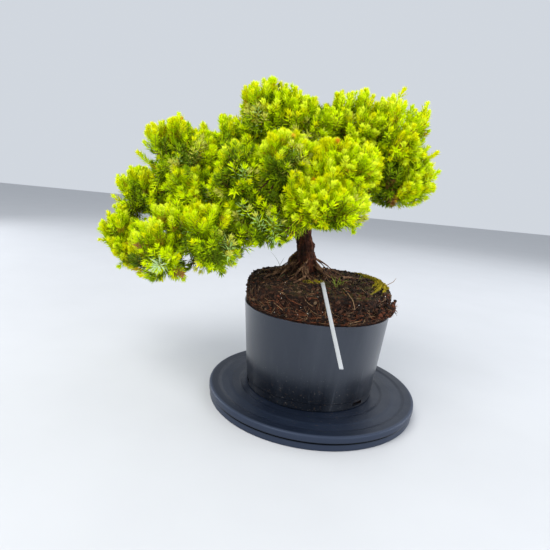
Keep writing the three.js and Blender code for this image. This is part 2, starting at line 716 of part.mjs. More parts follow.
function build() {
  const group = new THREE.Group();
  group.add(makeBase(), makePlate(), makePot());

  const trunk = withSamples(makeTrunkLimb());
  const limbs = new Map([['trunk', trunk]]);
  const addBough = (mass) => {
    if (limbs.has(mass.name)) return;
    if (mass.parent !== 'trunk') addBough(massNamed(mass.parent));
    limbs.set(mass.name, withSamples(makeBoughLimb(mass, limbs.get(mass.parent))));
  };
  masses.filter((mass) => mass.parent).forEach(addBough);
  const roots = surfaceRoots.map((root) => withSamples(makeRootLimb(root)));

  const ground = new THREE.BoxGeometry(80, 80, 20).translate(trunkFoot.x, trunkFoot.y, trunkFoot.z - 10);
  group.add(finished('trunk', toSolid(limbGeometry(trunk)).subtract(toSolid(ground)), paint.bark));
  const trunkRoom = toSolid(limbGeometry(trunk, touchGap));

  roots.forEach((root, i) => {
    let solid = toSolid(limbGeometry(root)).subtract(trunkRoom);
    roots.slice(0, i).forEach((earlier) => {
      solid = solid.subtract(toSolid(limbGeometry(earlier, touchGap)));
    });
    group.add(finished(root.name, solid, paint.bark));
  });
  let soil = toSolid(soilGeometry());
  roots.forEach((root) => {
    soil = soil.subtract(toSolid(limbGeometry(root, touchGap)));
  });
  soil = soil.subtract(toSolid(makeMarkerGeometry(touchGap)));
  group.add(finished('root_ball', soil, paint.soil));
  const raisedSoil = toSolid(soilGeometry(touchGap));
  mossPads.forEach((pad) => group.add(makeMoss(pad, raisedSoil, roots)));
  group.add(finished('marker', toSolid(makeMarkerGeometry()), paint.marker));

  masses.filter((mass) => mass.parent).forEach((mass) => {
    const bough = limbs.get(mass.name);
    const parentRoom = toSolid(limbGeometry(limbs.get(mass.parent), touchGap));
    group.add(finished(bough.name, toSolid(limbGeometry(bough)).subtract(parentRoom), paint.bark));
  });
  const carrierOf = (mass) => limbs.get(mass.parent ? mass.name : 'trunk');
  const stems = masses.map((mass) => withSamples(makeStemLimb(mass, carrierOf(mass))));
  masses.forEach((mass, i) => {
    const others = stems.filter((stem) => stem !== stems[i]);
    group.add(makeMass(mass, stems[i], [...limbs.values(), ...others]));
  });
  return group;
}

export default build();
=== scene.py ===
import math

import bmesh
import bpy
import numpy as np
from mathutils import Matrix, Vector, noise


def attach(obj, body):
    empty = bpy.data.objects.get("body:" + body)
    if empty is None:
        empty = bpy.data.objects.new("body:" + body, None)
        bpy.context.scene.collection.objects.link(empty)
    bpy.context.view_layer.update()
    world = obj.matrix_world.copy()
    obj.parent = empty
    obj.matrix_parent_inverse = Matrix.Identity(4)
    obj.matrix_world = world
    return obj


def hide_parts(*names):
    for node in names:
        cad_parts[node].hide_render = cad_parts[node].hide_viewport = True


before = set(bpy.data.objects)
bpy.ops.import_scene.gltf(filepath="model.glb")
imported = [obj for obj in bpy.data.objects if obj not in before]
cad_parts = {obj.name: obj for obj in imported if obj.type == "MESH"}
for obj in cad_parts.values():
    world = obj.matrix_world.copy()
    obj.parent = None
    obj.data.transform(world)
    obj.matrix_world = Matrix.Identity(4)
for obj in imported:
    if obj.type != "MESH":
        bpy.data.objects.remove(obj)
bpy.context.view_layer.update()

mm = 0.001
up = np.array([0.0, 0.0, 1.0])
gold = math.pi * (3 - math.sqrt(5))


# camera, light and floor

camera = {"place": (0, -529.59, 255.78), "yaw": -0.106, "pitch": 0.201, "roll": 0.090,
          "sensor": 36, "focalShare": 450 / 550}


def addObject(name, data):
    made = bpy.data.objects.new(name, data)
    bpy.context.scene.collection.objects.link(made)
    return made


def makeCamera():
    yaw, pitch, roll = camera["yaw"], camera["pitch"], camera["roll"]
    ahead = Vector((math.sin(yaw) * math.cos(pitch), math.cos(yaw) * math.cos(pitch), -math.sin(pitch)))
    side = ahead.cross(Vector((0, 0, 1))).normalized()
    top = side.cross(ahead)
    right = side * math.cos(roll) + top * math.sin(roll)
    above = top * math.cos(roll) - side * math.sin(roll)
    data = bpy.data.cameras.new("camera")
    data.sensor_width = camera["sensor"]
    data.lens = camera["sensor"] * camera["focalShare"]
    eye = addObject("camera", data)
    turn = Matrix((right, above, -ahead)).transposed().to_4x4()
    eye.matrix_world = Matrix.Translation(Vector(camera["place"]) * mm) @ turn
    bpy.context.scene.camera = eye


lamps = [  # name, place, size, power and tint
    ("key", (-0.6, -0.9, 1.5), 1.2, 31, (1, 0.985, 0.95)),
    ("fill", (1.4, -0.9, 0.7), 1.2, 15, (0.95, 0.97, 1)),
    ("rear", (0.3, 1.3, 1.2), 1.2, 7, (0.95, 0.97, 1)),
    ("leftEdge", (-1.7, 0.5, 0.45), 1.0, 15, (0.95, 0.97, 1)),
    ("rightEdge", (1.7, 0.5, 0.45), 1.0, 19, (0.95, 0.97, 1)),
]
room = {"sky": (0.78, 0.83, 0.9), "strength": 0.82, "floor": (0.5, 0.51, 0.53), "half": 4,
        "aim": (-0.05, 0, 0.2)}


def makeRoom():
    for name, place, size, power, colour in lamps:
        data = bpy.data.lights.new(name, "AREA")
        data.size = size
        data.energy = power
        data.color = colour
        light = addObject(name, data)
        light.location = place
        light.visible_camera = False  # it lights the plant but doesn't show
        aim = Vector(room["aim"]) - light.location
        light.rotation_euler = aim.to_track_quat("-Z", "Y").to_euler()
    world = bpy.data.worlds.new("room")
    world.use_nodes = True
    sky = world.node_tree.nodes["Background"]
    sky.inputs["Color"].default_value = (*room["sky"], 1)
    sky.inputs["Strength"].default_value = room["strength"]
    bpy.context.scene.world = world
    bpy.context.scene.view_settings.view_transform = "Standard"

    paint = Paint("floorPaint", 0.7)
    grain = paint.noise(9, 3)
    paint.finish(paint.blend(paint.band(grain, 0.3, 0.8), room["floor"], [c * 0.96 for c in room["floor"]]))
    corners = [(x * room["half"], y * room["half"], 0) for x, y in ((-1, -1), (1, -1), (1, 1), (-1, 1))]
    mesh = bpy.data.meshes.new("floor")
    mesh.from_pydata(corners, [], [(0, 1, 2, 3)])
    mesh.materials.append(paint.material)
    addObject("floor", mesh)


# shader helpers

def tint(*levels):
    # a screen colour's red, green and blue, from 0 to 255, as the shader's own numbers
    return tuple(((c / 255 + 0.055) / 1.055) ** 2.4 if c > 10 else c / 255 / 12.92 for c in levels)


class Wire:
    # a node's output that can stand in sums
    def __init__(self, paint, socket):
        self.paint = paint
        self.socket = socket

    def sum(self, operation, other, swapped=False):
        pair = [other, self] if swapped else [self, other]
        return self.paint.node("ShaderNodeMath", {"operation": operation}, dict(enumerate(pair)))

    def __add__(self, other):
        return self.sum("ADD", other)

    def __sub__(self, other):
        return self.sum("SUBTRACT", other)

    def __rsub__(self, other):
        return self.sum("SUBTRACT", other, True)

    def __mul__(self, other):
        return self.sum("MULTIPLY", other)

    def __truediv__(self, other):
        return self.sum("DIVIDE", other)

    def __rtruediv__(self, other):
        return self.sum("DIVIDE", other, True)

    def __pow__(self, other):
        return self.sum("POWER", other)

    __radd__ = __add__
    __rmul__ = __mul__


class Paint:
    # a material, and the one way to add nodes to it
    def __init__(self, name, roughness=0.6, specular=0.5):
        self.material = bpy.data.materials.new(name)
        self.material.use_nodes = True
        self.tree = self.material.node_tree
        self.shader = self.tree.nodes["Principled BSDF"]
        self.shader.inputs["Roughness"].default_value = roughness
        self.shader.inputs["Specular IOR Level"].default_value = specular
        self.here = self.node("ShaderNodeTexCoord", out="Object")

    def put(self, socket, value):
        if isinstance(value, Wire):
            self.tree.links.new(value.socket, socket)
        elif isinstance(value, (tuple, list)) and len(value) == 3 and len(socket.default_value) == 4:
            socket.default_value = (*value, 1)
        else:
            socket.default_value = value

    def node(self, kind, settings=None, sockets=None, out=0):
        made = self.tree.nodes.new(kind)
        for key, value in (settings or {}).items():
            if key == "stops":
                self.setStops(made.color_ramp, value)
            else:
                setattr(made, key, value)
        for key, value in (sockets or {}).items():
            self.put(made.inputs[key], value)
        return Wire(self, made.outputs[out])

    def setStops(self, ramp, stops):
        while len(ramp.elements) < len(stops):
            ramp.elements.new(0.5)
        for element, (place, colour) in zip(ramp.elements, stops):
            element.position = place
            element.color = (*colour, 1)

    def noise(self, scale, detail=4, stretch=(1, 1, 1), roughness=0.55, at=None):
        place = self.node("ShaderNodeMapping", None, {"Vector": at or self.here, "Scale": stretch})
        return self.node("ShaderNodeTexNoise", None,
                         {"Vector": place, "Scale": scale, "Detail": detail, "Roughness": roughness})

    def ramp(self, value, stops):
        return self.node("ShaderNodeValToRGB", {"stops": stops}, {"Fac": value})

    def band(self, value, low, high):
        return self.node("ShaderNodeMapRange", {"clamp": True},
                         {"Value": value, "From Min": low, "From Max": high})

    def blend(self, factor, first, second):
        return self.node("ShaderNodeMix", {"data_type": "RGBA"}, {0: factor, 6: first, 7: second}, 2)

    def axis(self, name):
        return self.node("ShaderNodeSeparateXYZ", None, {0: self.here}, name)

    def fromAxis(self, x=0.0, y=0.0):
        # distance from an upright line, in metres
        across = self.axis("X") - x
        along = self.axis("Y") - y
        return (across * across + along * along) ** 0.5

    def finish(self, colour=None, roughness=None, height=None, depth=0.0005):
        if colour is not None:
            self.put(self.shader.inputs["Base Color"], colour)
        if roughness is not None:
            self.put(self.shader.inputs["Roughness"], roughness)
        if height is not None:
            bump = self.node("ShaderNodeBump", None, {"Height": height, "Distance": depth, "Strength": 1.0})
            self.put(self.shader.inputs["Normal"], bump)
        return self.material


def plainPaint(name, colour, roughness=0.7, grain=900, depth=0.0002, spread=0.25):
    # a small thing's finish: one colour with a fine grain of a darker one
    paint = Paint(name, roughness, 0.25)
    mottle = paint.noise(grain, 3)
    darker = [c * (1 - spread) for c in colour]
    return paint.finish(paint.blend(paint.band(mottle, 0.35, 0.7), darker, colour), None, mottle, depth)


# mesh helpers

def unit(vector):
    return vector / (np.linalg.norm(vector) + 1e-9)


def addPiece(name, mesh, nodes=(), body="plant"):
    piece = addObject(name, mesh)
    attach(piece, body)
    if nodes:
        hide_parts(*nodes)
    return piece


def makePiece(name, points, faces, materials, nodes=(), indexes=None, body="plant",
              smooth=True, crease=None):
    # points are in millimetres; faces is a list of rows, or an array of triangles
    mesh = bpy.data.meshes.new(name)
    points = np.asarray(points, dtype=np.float32) * mm
    if isinstance(faces, np.ndarray):
        count = len(faces)
        mesh.vertices.add(len(points))
        mesh.vertices.foreach_set("co", points.ravel())
        mesh.loops.add(count * 3)
        mesh.loops.foreach_set("vertex_index", faces.astype(np.int32).ravel())
        mesh.polygons.add(count)
        mesh.polygons.foreach_set("loop_start", np.arange(0, count * 3, 3, dtype=np.int32))
        mesh.update(calc_edges=True)
    else:
        mesh.from_pydata(points.tolist(), [], faces)
    for material in materials:
        mesh.materials.append(material)
    if indexes is not None:
        mesh.polygons.foreach_set("material_index", np.asarray(indexes, dtype=np.int32))
    mesh.polygons.foreach_set("use_smooth", [smooth] * len(mesh.polygons))
    if crease:
        mesh.set_sharp_from_angle(angle=math.radians(crease))
    mesh.update()
    return addPiece(name, mesh, nodes, body)


def softened(profile, radius, steps=5):
    # rounds each inner corner of an open profile of (radius, height), by its own third number if it has one
    path = [Vector(point[:2]) for point in profile]
    out = [path[0]]
    for before, corner, after, point in zip(path, path[1:], path[2:], profile[1:]):
        wanted = point[2] if len(point) > 2 else radius
        cut = min(wanted, (before - corner).length * 0.45, (after - corner).length * 0.45)
        start = corner + (before - corner).normalized() * cut
        end = corner + (after - corner).normalized() * cut
        for step in range(steps + 1):
            share = step / steps
            out.append(start.lerp(corner, share).lerp(corner.lerp(end, share), share))
    out.append(path[-1])
    return [(point.x, point.y) for point in out]


def turned(profile, sides):
    # a profile turned about the Z axis, with its ends on the axis
    points = []
    faces = []
    rows = []
    for radius, height in profile:
        if radius < 1e-6:
            rows.append([len(points)])
            points.append((0, 0, height))
        else:
            rows.append(list(range(len(points), len(points) + sides)))
            for k in range(sides):
                angle = 2 * math.pi * k / sides
                points.append((radius * math.cos(angle), radius * math.sin(angle), height))
    for low, high in zip(rows, rows[1:]):
        for k in range(sides):
            after = k + 1
            ring = [low[k % len(low)], low[after % len(low)], high[after % len(high)], high[k % len(high)]]
            faces.append(list(dict.fromkeys(ring)))
    return points, faces


def ringQuads(rows, sides):
    # the faces between rows of points that each go once round
    return [[low + k, low + (k + 1) % sides, low + sides + (k + 1) % sides, low + sides + k]
            for low in range(0, rows * sides, sides) for k in range(sides)]


def makeRandom(seed):
    # the same repeatable numbers that the limbs were laid out with
    state = [seed & 0xFFFFFFFF]

    def step():
        state[0] = (state[0] + 0x6D2B79F5) & 0xFFFFFFFF
        mixed = state[0]
        mixed = ((mixed ^ (mixed >> 15)) * (1 | mixed)) & 0xFFFFFFFF
        mixed = ((mixed + (((mixed ^ (mixed >> 7)) * (61 | mixed)) & 0xFFFFFFFF)) & 0xFFFFFFFF) ^ mixed
        return ((mixed ^ (mixed >> 14)) & 0xFFFFFFFF) / 4294967296

    return step


class Curve:
    # a smooth curve through points, read by its share of the length
    def __init__(self, points, steps=24):
        path = [np.array(point, dtype=float) for point in points]
        path = [2 * path[0] - path[1], *path, 2 * path[-1] - path[-2]]
        dense = []
        for corners in zip(path, path[1:], path[2:], path[3:]):
            gaps = [max(np.linalg.norm(q - p), 1e-6) ** 0.5 for p, q in zip(corners, corners[1:])]
            knots = np.concatenate([[0], np.cumsum(gaps)])
            for share in np.arange(steps) / steps:
                dense.append(self.between(corners, knots, share))
        dense.append(path[-2])
        self.points = np.array(dense)
        self.along = np.concatenate([[0], np.cumsum(np.linalg.norm(np.diff(self.points, axis=0), axis=1))])
        self.length = self.along[-1]

    @staticmethod
    def between(corners, knots, share):
        t = knots[1] + (knots[2] - knots[1]) * share

        def mixed(low, high, first, second):
            return (first * (high - t) + second * (t - low)) / (high - low)

        row = list(corners)
        for level in (1, 2):
            row = [mixed(knots[i], knots[i + level], row[i], row[i + 1]) for i in range(len(row) - 1)]
        return mixed(knots[1], knots[2], row[0], row[1])

    def at(self, share):
        place = np.clip(np.asarray(share, dtype=float), 0, 1) * self.length
        return np.stack([np.interp(place, self.along, self.points[:, k]) for k in range(3)], -1)

    def tangents(self, shares):
        way = self.at(np.asarray(shares) + 0.006) - self.at(np.asarray(shares) - 0.006)
        return way / np.linalg.norm(way, axis=-1, keepdims=True)


def limbShell(curve, radiusAt, sides, rings, relief=None):
    # a tapering limb; relief(angle, distance along, radius) is added in millimetres
    shares = np.linspace(0, 1, rings + 1)
    side = np.array([1.0, 0, 0])
    points = []
    for share, centre, way in zip(shares, curve.at(shares), curve.tangents(shares)):
        side = side - way * side.dot(way)
        side = side / np.linalg.norm(side)
        other = np.cross(way, side)
        for k in range(sides):
            angle = 2 * math.pi * k / sides
            radius = radiusAt(share, angle)
            if relief is not None:
                radius += relief(angle, share * curve.length, radius)
            points.append(centre + radius * (side * math.cos(angle) + other * math.sin(angle)))
    faces = ringQuads(rings, sides)
    faces.append(list(range(sides))[::-1])
    faces.append(list(range(rings * sides, (rings + 1) * sides)))
    return points, faces


def joined(parts):
    points = []
    faces = []
    for partPoints, partFaces in parts:
        offset = len(points)
        points.extend(partPoints)
        faces.extend([[index + offset for index in face] for face in partFaces])
    return points, faces


class Heap:
    # gathers many small meshes of triangles into one piece
    def __init__(self):
        self.points = []
        self.faces = []
        self.indexes = []
        self.count = 0

    def add(self, points, faces, index):
        self.points.append(np.asarray(points, dtype=np.float32))
        self.faces.append(np.asarray(faces) + self.count)
        self.indexes.append(np.broadcast_to(index, (len(faces),)))
        self.count += len(points)

    def tube(self, path, radii, index, sides=3):
        path = np.asarray(path, dtype=float)
        way = np.gradient(path, axis=0)
        way /= np.linalg.norm(way, axis=1, keepdims=True) + 1e-9
        rough = np.array([0.31, 0.84, 0.44]) if abs(way[0][1]) < 0.8 else np.array([0.9, 0.1, 0.42])
        side = np.cross(way, rough)
        side /= np.linalg.norm(side, axis=1, keepdims=True)
        other = np.cross(way, side)
        angle = 2 * math.pi * np.arange(sides) / sides
        ring = side[:, None] * np.cos(angle)[None, :, None] + other[:, None] * np.sin(angle)[None, :, None]
        points = (path[:, None] + ring * np.asarray(radii)[:, None, None]).reshape(-1, 3)
        faces = [half for a, b, c, d in ringQuads(len(path) - 1, sides) for half in ((a, b, c), (a, c, d))]
        self.add(points, faces, index)

    def piece(self, name, materials, slot, nodes=(), smooth=False):
        points = np.concatenate(self.points)
        faces = np.concatenate(self.faces)
        print(f"{name}: {len(faces)} triangles")
        indexes = np.concatenate(self.indexes)
        return makePiece(name, points, faces, materials, nodes, indexes, smooth=smooth)


# turntable

stand = {
    # the edge colour is a painted highlight on the outer side walls
    "colour": tint(13, 19, 31), "worn": tint(30, 38, 53), "edge": tint(45, 52, 67),
    # the gap's near-black colour is painted shade between base and plate
    "gapShade": tint(3, 6, 9), "dust": tint(96, 84, 72),
    "roughness": 0.36, "sides": 192, "softening": 1.4, "lip": 2.6,
    "baseRadius": 123.7, "baseHeight": 7.6, "bearing": (40, 46, 8.5), "pin": (8, 11.2),
    "plateRadius": 125, "plateBottom": 8.8, "plateFloor": 14.9, "innerBand": 15.9, "groove": 15.2,
    "rimBand": 16.5, "bands": (86, 99.5, 112), "gap": 0.3,
}


def standPaint():
    paint = Paint("standPlastic", specular=0.36)
    paint.put(paint.shader.inputs["Specular Tint"], (0.62, 0.76, 1.0))
    paint.put(paint.shader.inputs["IOR"], 1.33)
    away, height = paint.fromAxis(), paint.axis("Z")
    rings = paint.node("ShaderNodeCombineXYZ", None, {0: away * 60, 1: height * 20})
    turning = paint.noise(34, 3, at=rings)
    grain = paint.noise(1500, 2)
    smear = paint.noise(26, 5, (1, 1, 1.5))
    worn = paint.band(smear, 0.45, 0.8)
    colour = paint.blend(worn * 0.35 + paint.band(turning, 0.35, 0.7) * 0.18, stand["colour"], stand["worn"])
    specks = paint.band(paint.noise(420, 4), 0.62, 0.72) * paint.band(smear, 0.4, 0.6)
    groove = paint.band(away, 0.0975, 0.1) * paint.band(away, 0.1135, 0.111)
    colour = paint.blend(groove * 0.3, colour, stand["worn"])
    # painted highlight: the outer side walls of base and plate are painted lighter, for the light they catch
    # from the table and room
    colour = paint.blend(paint.band(away, 0.1212, 0.1232), colour, stand["edge"])
    # painted shade: a near-black band in the gap between the base and the plate
    between = paint.band(height, 0.0064, 0.0074) * paint.band(height, 0.0102, 0.0092)
    colour = paint.blend(between, colour, stand["gapShade"])
    nearPot = paint.band(away, 0.118, 0.082)
    colour = paint.blend(specks * (0.12 + nearPot * 0.35), colour, stand["dust"])
    roughness = stand["roughness"] + worn * 0.12 + paint.band(grain, 0.3, 0.7) * 0.05 + specks * 0.2
    return paint.finish(colour, roughness, grain * 0.5 + turning * 0.5, 0.00012)


def makeStand():
    paint = standPaint()
    s = stand
    inner, outer, top = s["bearing"]
    pinRadius, pinTop = s["pin"]
    profile = [
        (0, 0), (s["baseRadius"] - 0.8, 0), (s["baseRadius"], 0.8), (s["baseRadius"], s["baseHeight"] - 0.6),
        (s["baseRadius"] - 0.6, s["baseHeight"]), (outer, s["baseHeight"]), (outer, top), (inner, top),
        (inner, s["baseHeight"]), (pinRadius, s["baseHeight"]), (pinRadius, pinTop), (0, pinTop),
    ]
    points, faces = turned(softened(profile, s["softening"]), s["sides"])
    makePiece("baseDisc", points, faces, [paint], ["turntable_base"], body="base", crease=40)
    floorRadius, innerRadius, grooveRadius = s["bands"]
    socket = pinRadius + s["gap"]
    profile = [
        (0, pinTop + s["gap"]), (socket, pinTop + s["gap"]), (socket, s["plateBottom"]),
        (s["plateRadius"], s["plateBottom"]), (s["plateRadius"], s["rimBand"], s["lip"]),
        (grooveRadius + 2, s["rimBand"]), (grooveRadius - 1.5, s["groove"]), (innerRadius + 1.5, s["groove"]),
        (innerRadius - 1.5, s["innerBand"]), (floorRadius + 2, s["innerBand"]),
        (floorRadius - 1, s["plateFloor"]), (0, s["plateFloor"]),
    ]
    points, faces = turned(softened(profile, s["softening"]), s["sides"])
    makePiece("turningPlate", points, faces, [paint], ["turntable_plate"], crease=40)
    print("turntable made")


# pot

pot = {
    # the low colour is painted shade that darkens the wall towards the foot
    "colour": tint(15, 20, 31), "low": tint(11, 15, 22), "dust": tint(128, 124, 120),
    "scuff": tint(64, 68, 75), "soil": tint(84, 68, 54), "roughness": 0.29,
    "centre": (-3, 3), "bottom": 15.2, "foot": 77, "rim": 87, "height": 118, "wall": 2, "footRing": 6.5,
    "under": 17.2, "floor": 19.4, "ledge": 24, "uneven": 2, "cut": 0.35, "sides": 216,
    "slots": 3, "slotWidth": 16, "slotHeights": (17.8, 22.2), "slotTurn": 49, "slotDeep": 12,
    "slotRound": 1.2, "lip": 3.1,
}


def potInner(height):
    share = (height - pot["bottom"]) / (pot["height"] - pot["bottom"])
    return pot["foot"] + (pot["rim"] - pot["foot"]) * share - pot["wall"]


def potPaint():
    paint = Paint("potPlastic", specular=0.62)
    paint.put(paint.shader.inputs["Specular Tint"], (0.72, 0.82, 1.0))
    paint.put(paint.shader.inputs["Coat Weight"], 0.4)
    paint.put(paint.shader.inputs["Coat Roughness"], 0.26)
    grain = paint.noise(1100, 2)
    streaks = paint.noise(38, 5, (1, 1, 0.14))
    cloudy = paint.noise(17, 4)
    scratches = paint.band(paint.noise(260, 2, (1, 1, 0.05)), 0.66, 0.72) * paint.band(cloudy, 0.45, 0.62)
    height = paint.axis("Z")
    # painted shade and reflection: the wall darkens towards the foot, for the dark turntable below it
    colour = paint.blend(paint.band(height, 0.066, 0.03), pot["colour"], pot["low"])
    colour = paint.blend(paint.band(streaks, 0.48, 0.8) * 0.36, colour, pot["scuff"])
    colour = paint.blend(scratches * 0.4, colour, pot["scuff"])
    soiled = paint.band(height, 0.112, 0.119) * 0.5 + paint.band(height, 0.056, 0.02) * 0.5
    specks = paint.band(paint.noise(460, 4), 0.6, 0.68)
    colour = paint.blend(specks * (soiled + paint.band(cloudy, 0.55, 0.75) * 0.1), colour, pot["soil"])
    dust = paint.band(paint.noise(560, 2), 0.69, 0.73) * paint.band(height, 0.075, 0.02)
    colour = paint.blend(dust * 0.7, colour, pot["dust"])
    roughness = pot["roughness"] + paint.band(streaks, 0.4, 0.8) * 0.14 + specks * soiled * 0.3
    relief = grain * 0.35 + streaks * 0.4 + scratches * 0.4
    return paint.finish(colour, roughness + scratches * 0.1, relief, 0.00018)


def makePot():
    foot, bottom, ledge, rim, top = (pot[key] for key in ("foot", "bottom", "ledge", "rim", "height"))
    inside = foot - pot["footRing"]
    profile = softened([
        (0, pot["under"]), (inside - 0.8, pot["under"]), (inside, bottom), (foot - 0.6, bottom),
        (foot, bottom + 0.6), (foot + 0.3, ledge), (foot + 0.9, ledge + 0.7), (foot + 1, ledge + 3),
    ], 0.5)
    for share in np.linspace(0.14, 0.97, 16):  # rows up the wall
        height = bottom + (top - bottom) * share
        profile.append((potInner(height) + pot["wall"], height))
    profile += softened([(rim - 0.05, top - 0.8), (rim - 0.1, top), (rim - pot["wall"], top),
                         (potInner(top - 3), top - 3)], 0.4)
    profile += [(potInner(pot["floor"]), pot["floor"]), (0, pot["floor"])]
    points, faces = turned(profile, pot["sides"])
    shaped = []
    for x, y, z in points:
        facing = math.atan2(y, x)
        turnX, turnY = math.cos(facing), math.sin(facing)
        lean = 0.25 * noise.noise(Vector((turnX * 1.6, turnY * 1.6, z * 0.012))) * (z - 20) / 100
        if z > top - pot["lip"]:
            share = (z - top + pot["lip"]) / pot["lip"]
            z += share * (pot["uneven"] * math.sin(facing) + 0.4 * math.sin(3 * facing))
            z += share * pot["cut"] * noise.noise(Vector((turnX * 7, turnY * 7, 3)))
        shaped.append((x + turnX * lean + pot["centre"][0], y + turnY * lean + pot["centre"][1], z))
    wall = makePiece("potWall", shaped, faces, [potPaint()], ["pot"], crease=35)

    cutter = bmesh.new()
    low, high = pot["slotHeights"]
    for k in range(pot["slots"]):
        turn = Matrix.Rotation(math.radians(pot["slotTurn"]) + k * 2 * math.pi / pot["slots"], 4, "Z")
        place = Matrix.Translation((pot["centre"][0] * mm, pot["centre"][1] * mm, 0)) @ turn
        place = place @ Matrix.Translation((0, -pot["foot"] * mm, (low + high) / 2 * mm))
        size = Matrix.Diagonal((pot["slotWidth"] * mm, pot["slotDeep"] * mm, (high - low) * mm, 1))
        made = bmesh.ops.create_cube(cutter, size=1, matrix=place @ size)
        edges = {edge for vert in made["verts"] for edge in vert.link_edges}
        along = turn.to_3x3() @ Vector((0, 1, 0))
        radial = [e for e in edges if abs((e.verts[0].co - e.verts[1].co).normalized().dot(along)) > 0.9]
        bmesh.ops.bevel(cutter, geom=radial, offset=pot["slotRound"] * mm, segments=4, profile=0.5,
                        affect="EDGES")
    mesh = bpy.data.meshes.new("slotCutter")
    cutter.to_mesh(mesh)
    cutter.free()
    tool = addObject("slotCutter", mesh)
    cut = wall.modifiers.new("slots", "BOOLEAN")
    cut.operation = "DIFFERENCE"
    cut.solver = "EXACT"
    cut.object = tool
    view = bpy.context.evaluated_depsgraph_get()
    finished = bpy.data.meshes.new_from_object(wall.evaluated_get(view))
    wall.modifiers.clear()
    wall.data = finished
    finished.set_sharp_from_angle(angle=math.radians(35))
    bpy.data.objects.remove(tool)
    print("pot made")


# root ball

soil = {
    "dark": tint(15, 9, 6), "mid": tint(58, 34, 22), "red": tint(104, 56, 34), "grey": tint(104, 82, 60),
    "green": tint(92, 92, 30),
    "bottom": 19.7, "clear": 0.35, "edge": 145.3, "dome": 8, "rough": 2.1, "sides": 288,
    # bumps on the top: place, rise and spread
    "collar": (-20, 2, 5, 26), "clod": (1, -31, 3.5, 9), "bare": 82, "topRows": 74,
    "crumbs": 4300, "grains": 70, "rootlets": 1300, "matShare": 0.28,
}
# a clot of torn roots and soil that bulges over the rim
clump = {"at": (77, -33, 126), "lumps": 420, "wide": 15, "tall": 3.4, "ends": 50, "endLength": 2.6}
trunk = {
    "path": [(-20, 2, 150), (-20.5, 2, 168), (-25, 3, 192), (-29, 4, 208),
             (-33, 9, 232), (-45, 14, 262), (-58, 16, 288), (-66, 16, 306)],
    "foot": 10.8, "fork": 8.2, "tip": 2.8, "forkShare": 0.4, "flare": 3, "flareShare": 0.13,
    "ground": 158, "sides": 84, "rings": 230, "stays": 38,
    # stubs of old shoots: turn in radians, height, rise and size
    "stubs": [(0.6, 205, 2.6, 5), (5.9, 226, 2.2, 4), (0.2, 186, 2.4, 4), (2.6, 196, 2, 5),
              (0.9, 172, 2.2, 4), (4.0, 214, 1.8, 4)],
    "tones": [tint(13, 7, 4), tint(62, 29, 16), tint(102, 58, 37), tint(92, 74, 60)],
    "rootTones": [tint(34, 21, 14), tint(92, 63, 43), tint(142, 108, 78), tint(130, 108, 88)],
}
marker = {
    "entry": (2, -43, 151.2), "end": (22, -208, 124), "buried": 15, "widthInner": 4.4, "widthEnd": 3.1,
    "thickness": 1, "edge": 0.22, "colour": tint(162, 165, 169), "grime": tint(120, 104, 84),
}


def soilTop(x, y):
    # the height of the soil: a low dome with a collar round the trunk and a clod at the marker
    away = math.hypot(x - pot["centre"][0], y - pot["centre"][1]) / pot["rim"]
    slope = 1.1 * math.sin(math.atan2(y - pot["centre"][1], x - pot["centre"][0]))
    height = soil["edge"] + slope + soil["dome"] * (1 - away * away)
    for atX, atY, rise, spread in (soil["collar"], soil["clod"]):
        height += rise * math.exp(-(math.hypot(x - atX, y - atY) / spread) ** 2)
    trunkX, trunkY = trunk["path"][0][:2]
    if math.hypot(x - trunkX, y - trunkY) < trunk["foot"] + trunk["flare"] + 3:
        height = min(height, trunk["ground"] - 0.3)
    return height


def overMarker(place, room=4.0):
    # whether a place on the soil would come up through the marker
    start, end = np.array(marker["entry"], float), np.array(marker["end"], float)
    share = (place[1] - start[1]) / (end[1] - start[1])
    strip = start + (end - start) * share
    return share > -0.05 and abs(place[0] - strip[0]) < room and place[2] > strip[2] - 4


def soilSide(height):
    # the ball's radius at a height: it fills the pot and bulges a little above the rim
    rim, edge = pot["height"], soil["edge"]
    foot, shoulder = potInner(soil["bottom"]) - soil["clear"], potInner(rim) - soil["clear"]
    heights = [soil["bottom"], rim, rim + 8, rim + 18, edge - 2.5, edge]
    radii = [foot, shoulder, shoulder + 0.3, shoulder + 0.7, shoulder - 0.4, shoulder - 2.2]
    return float(np.interp(height, heights, radii))


def soilPaint():
    paint = Paint("soilEarth", 0.95, 0.2)
    coarse = paint.noise(150, 8, roughness=0.7)
    fine = paint.noise(520, 6, roughness=0.7)
    fibres = paint.noise(170, 5, (1, 1, 3.2), roughness=0.65)
    height = paint.axis("Z")
    cells = paint.node("ShaderNodeTexVoronoi", {"feature": "F1"}, {"Vector": paint.here, "Scale": 340},
                       "Distance")
    halfway = [c * 0.5 for c in soil["mid"]]
    colour = paint.ramp(coarse * 0.6 + fine * 0.4, [
        (0.4, soil["dark"]), (0.5, halfway), (0.57, soil["mid"]), (0.66, soil["grey"])])
    # painted shade: the cells' edges, which the bump sinks into crevices between the crumbs, are darkened
    colour = paint.blend(paint.band(cells, 0.35, 0.75) * 0.8, colour, soil["dark"])
    low = paint.band(height, 0.134, 0.119)
    colour = paint.blend(paint.band(fibres, 0.54, 0.66) * (0.12 + low * 0.6), colour, soil["red"])
    onTop = paint.band(height, 0.1425, 0.146)
    right = paint.band(paint.axis("X"), 0.0, 0.055)
    mossy = paint.band(paint.noise(46, 4), 0.46, 0.62) * onTop * (0.25 + right * 0.6)
    colour = paint.blend(mossy * paint.band(fine, 0.35, 0.6), colour, soil["green"])
    return paint.finish(colour, None, coarse * 0.7 + fine * 0.6 - cells * 0.5, 0.003)


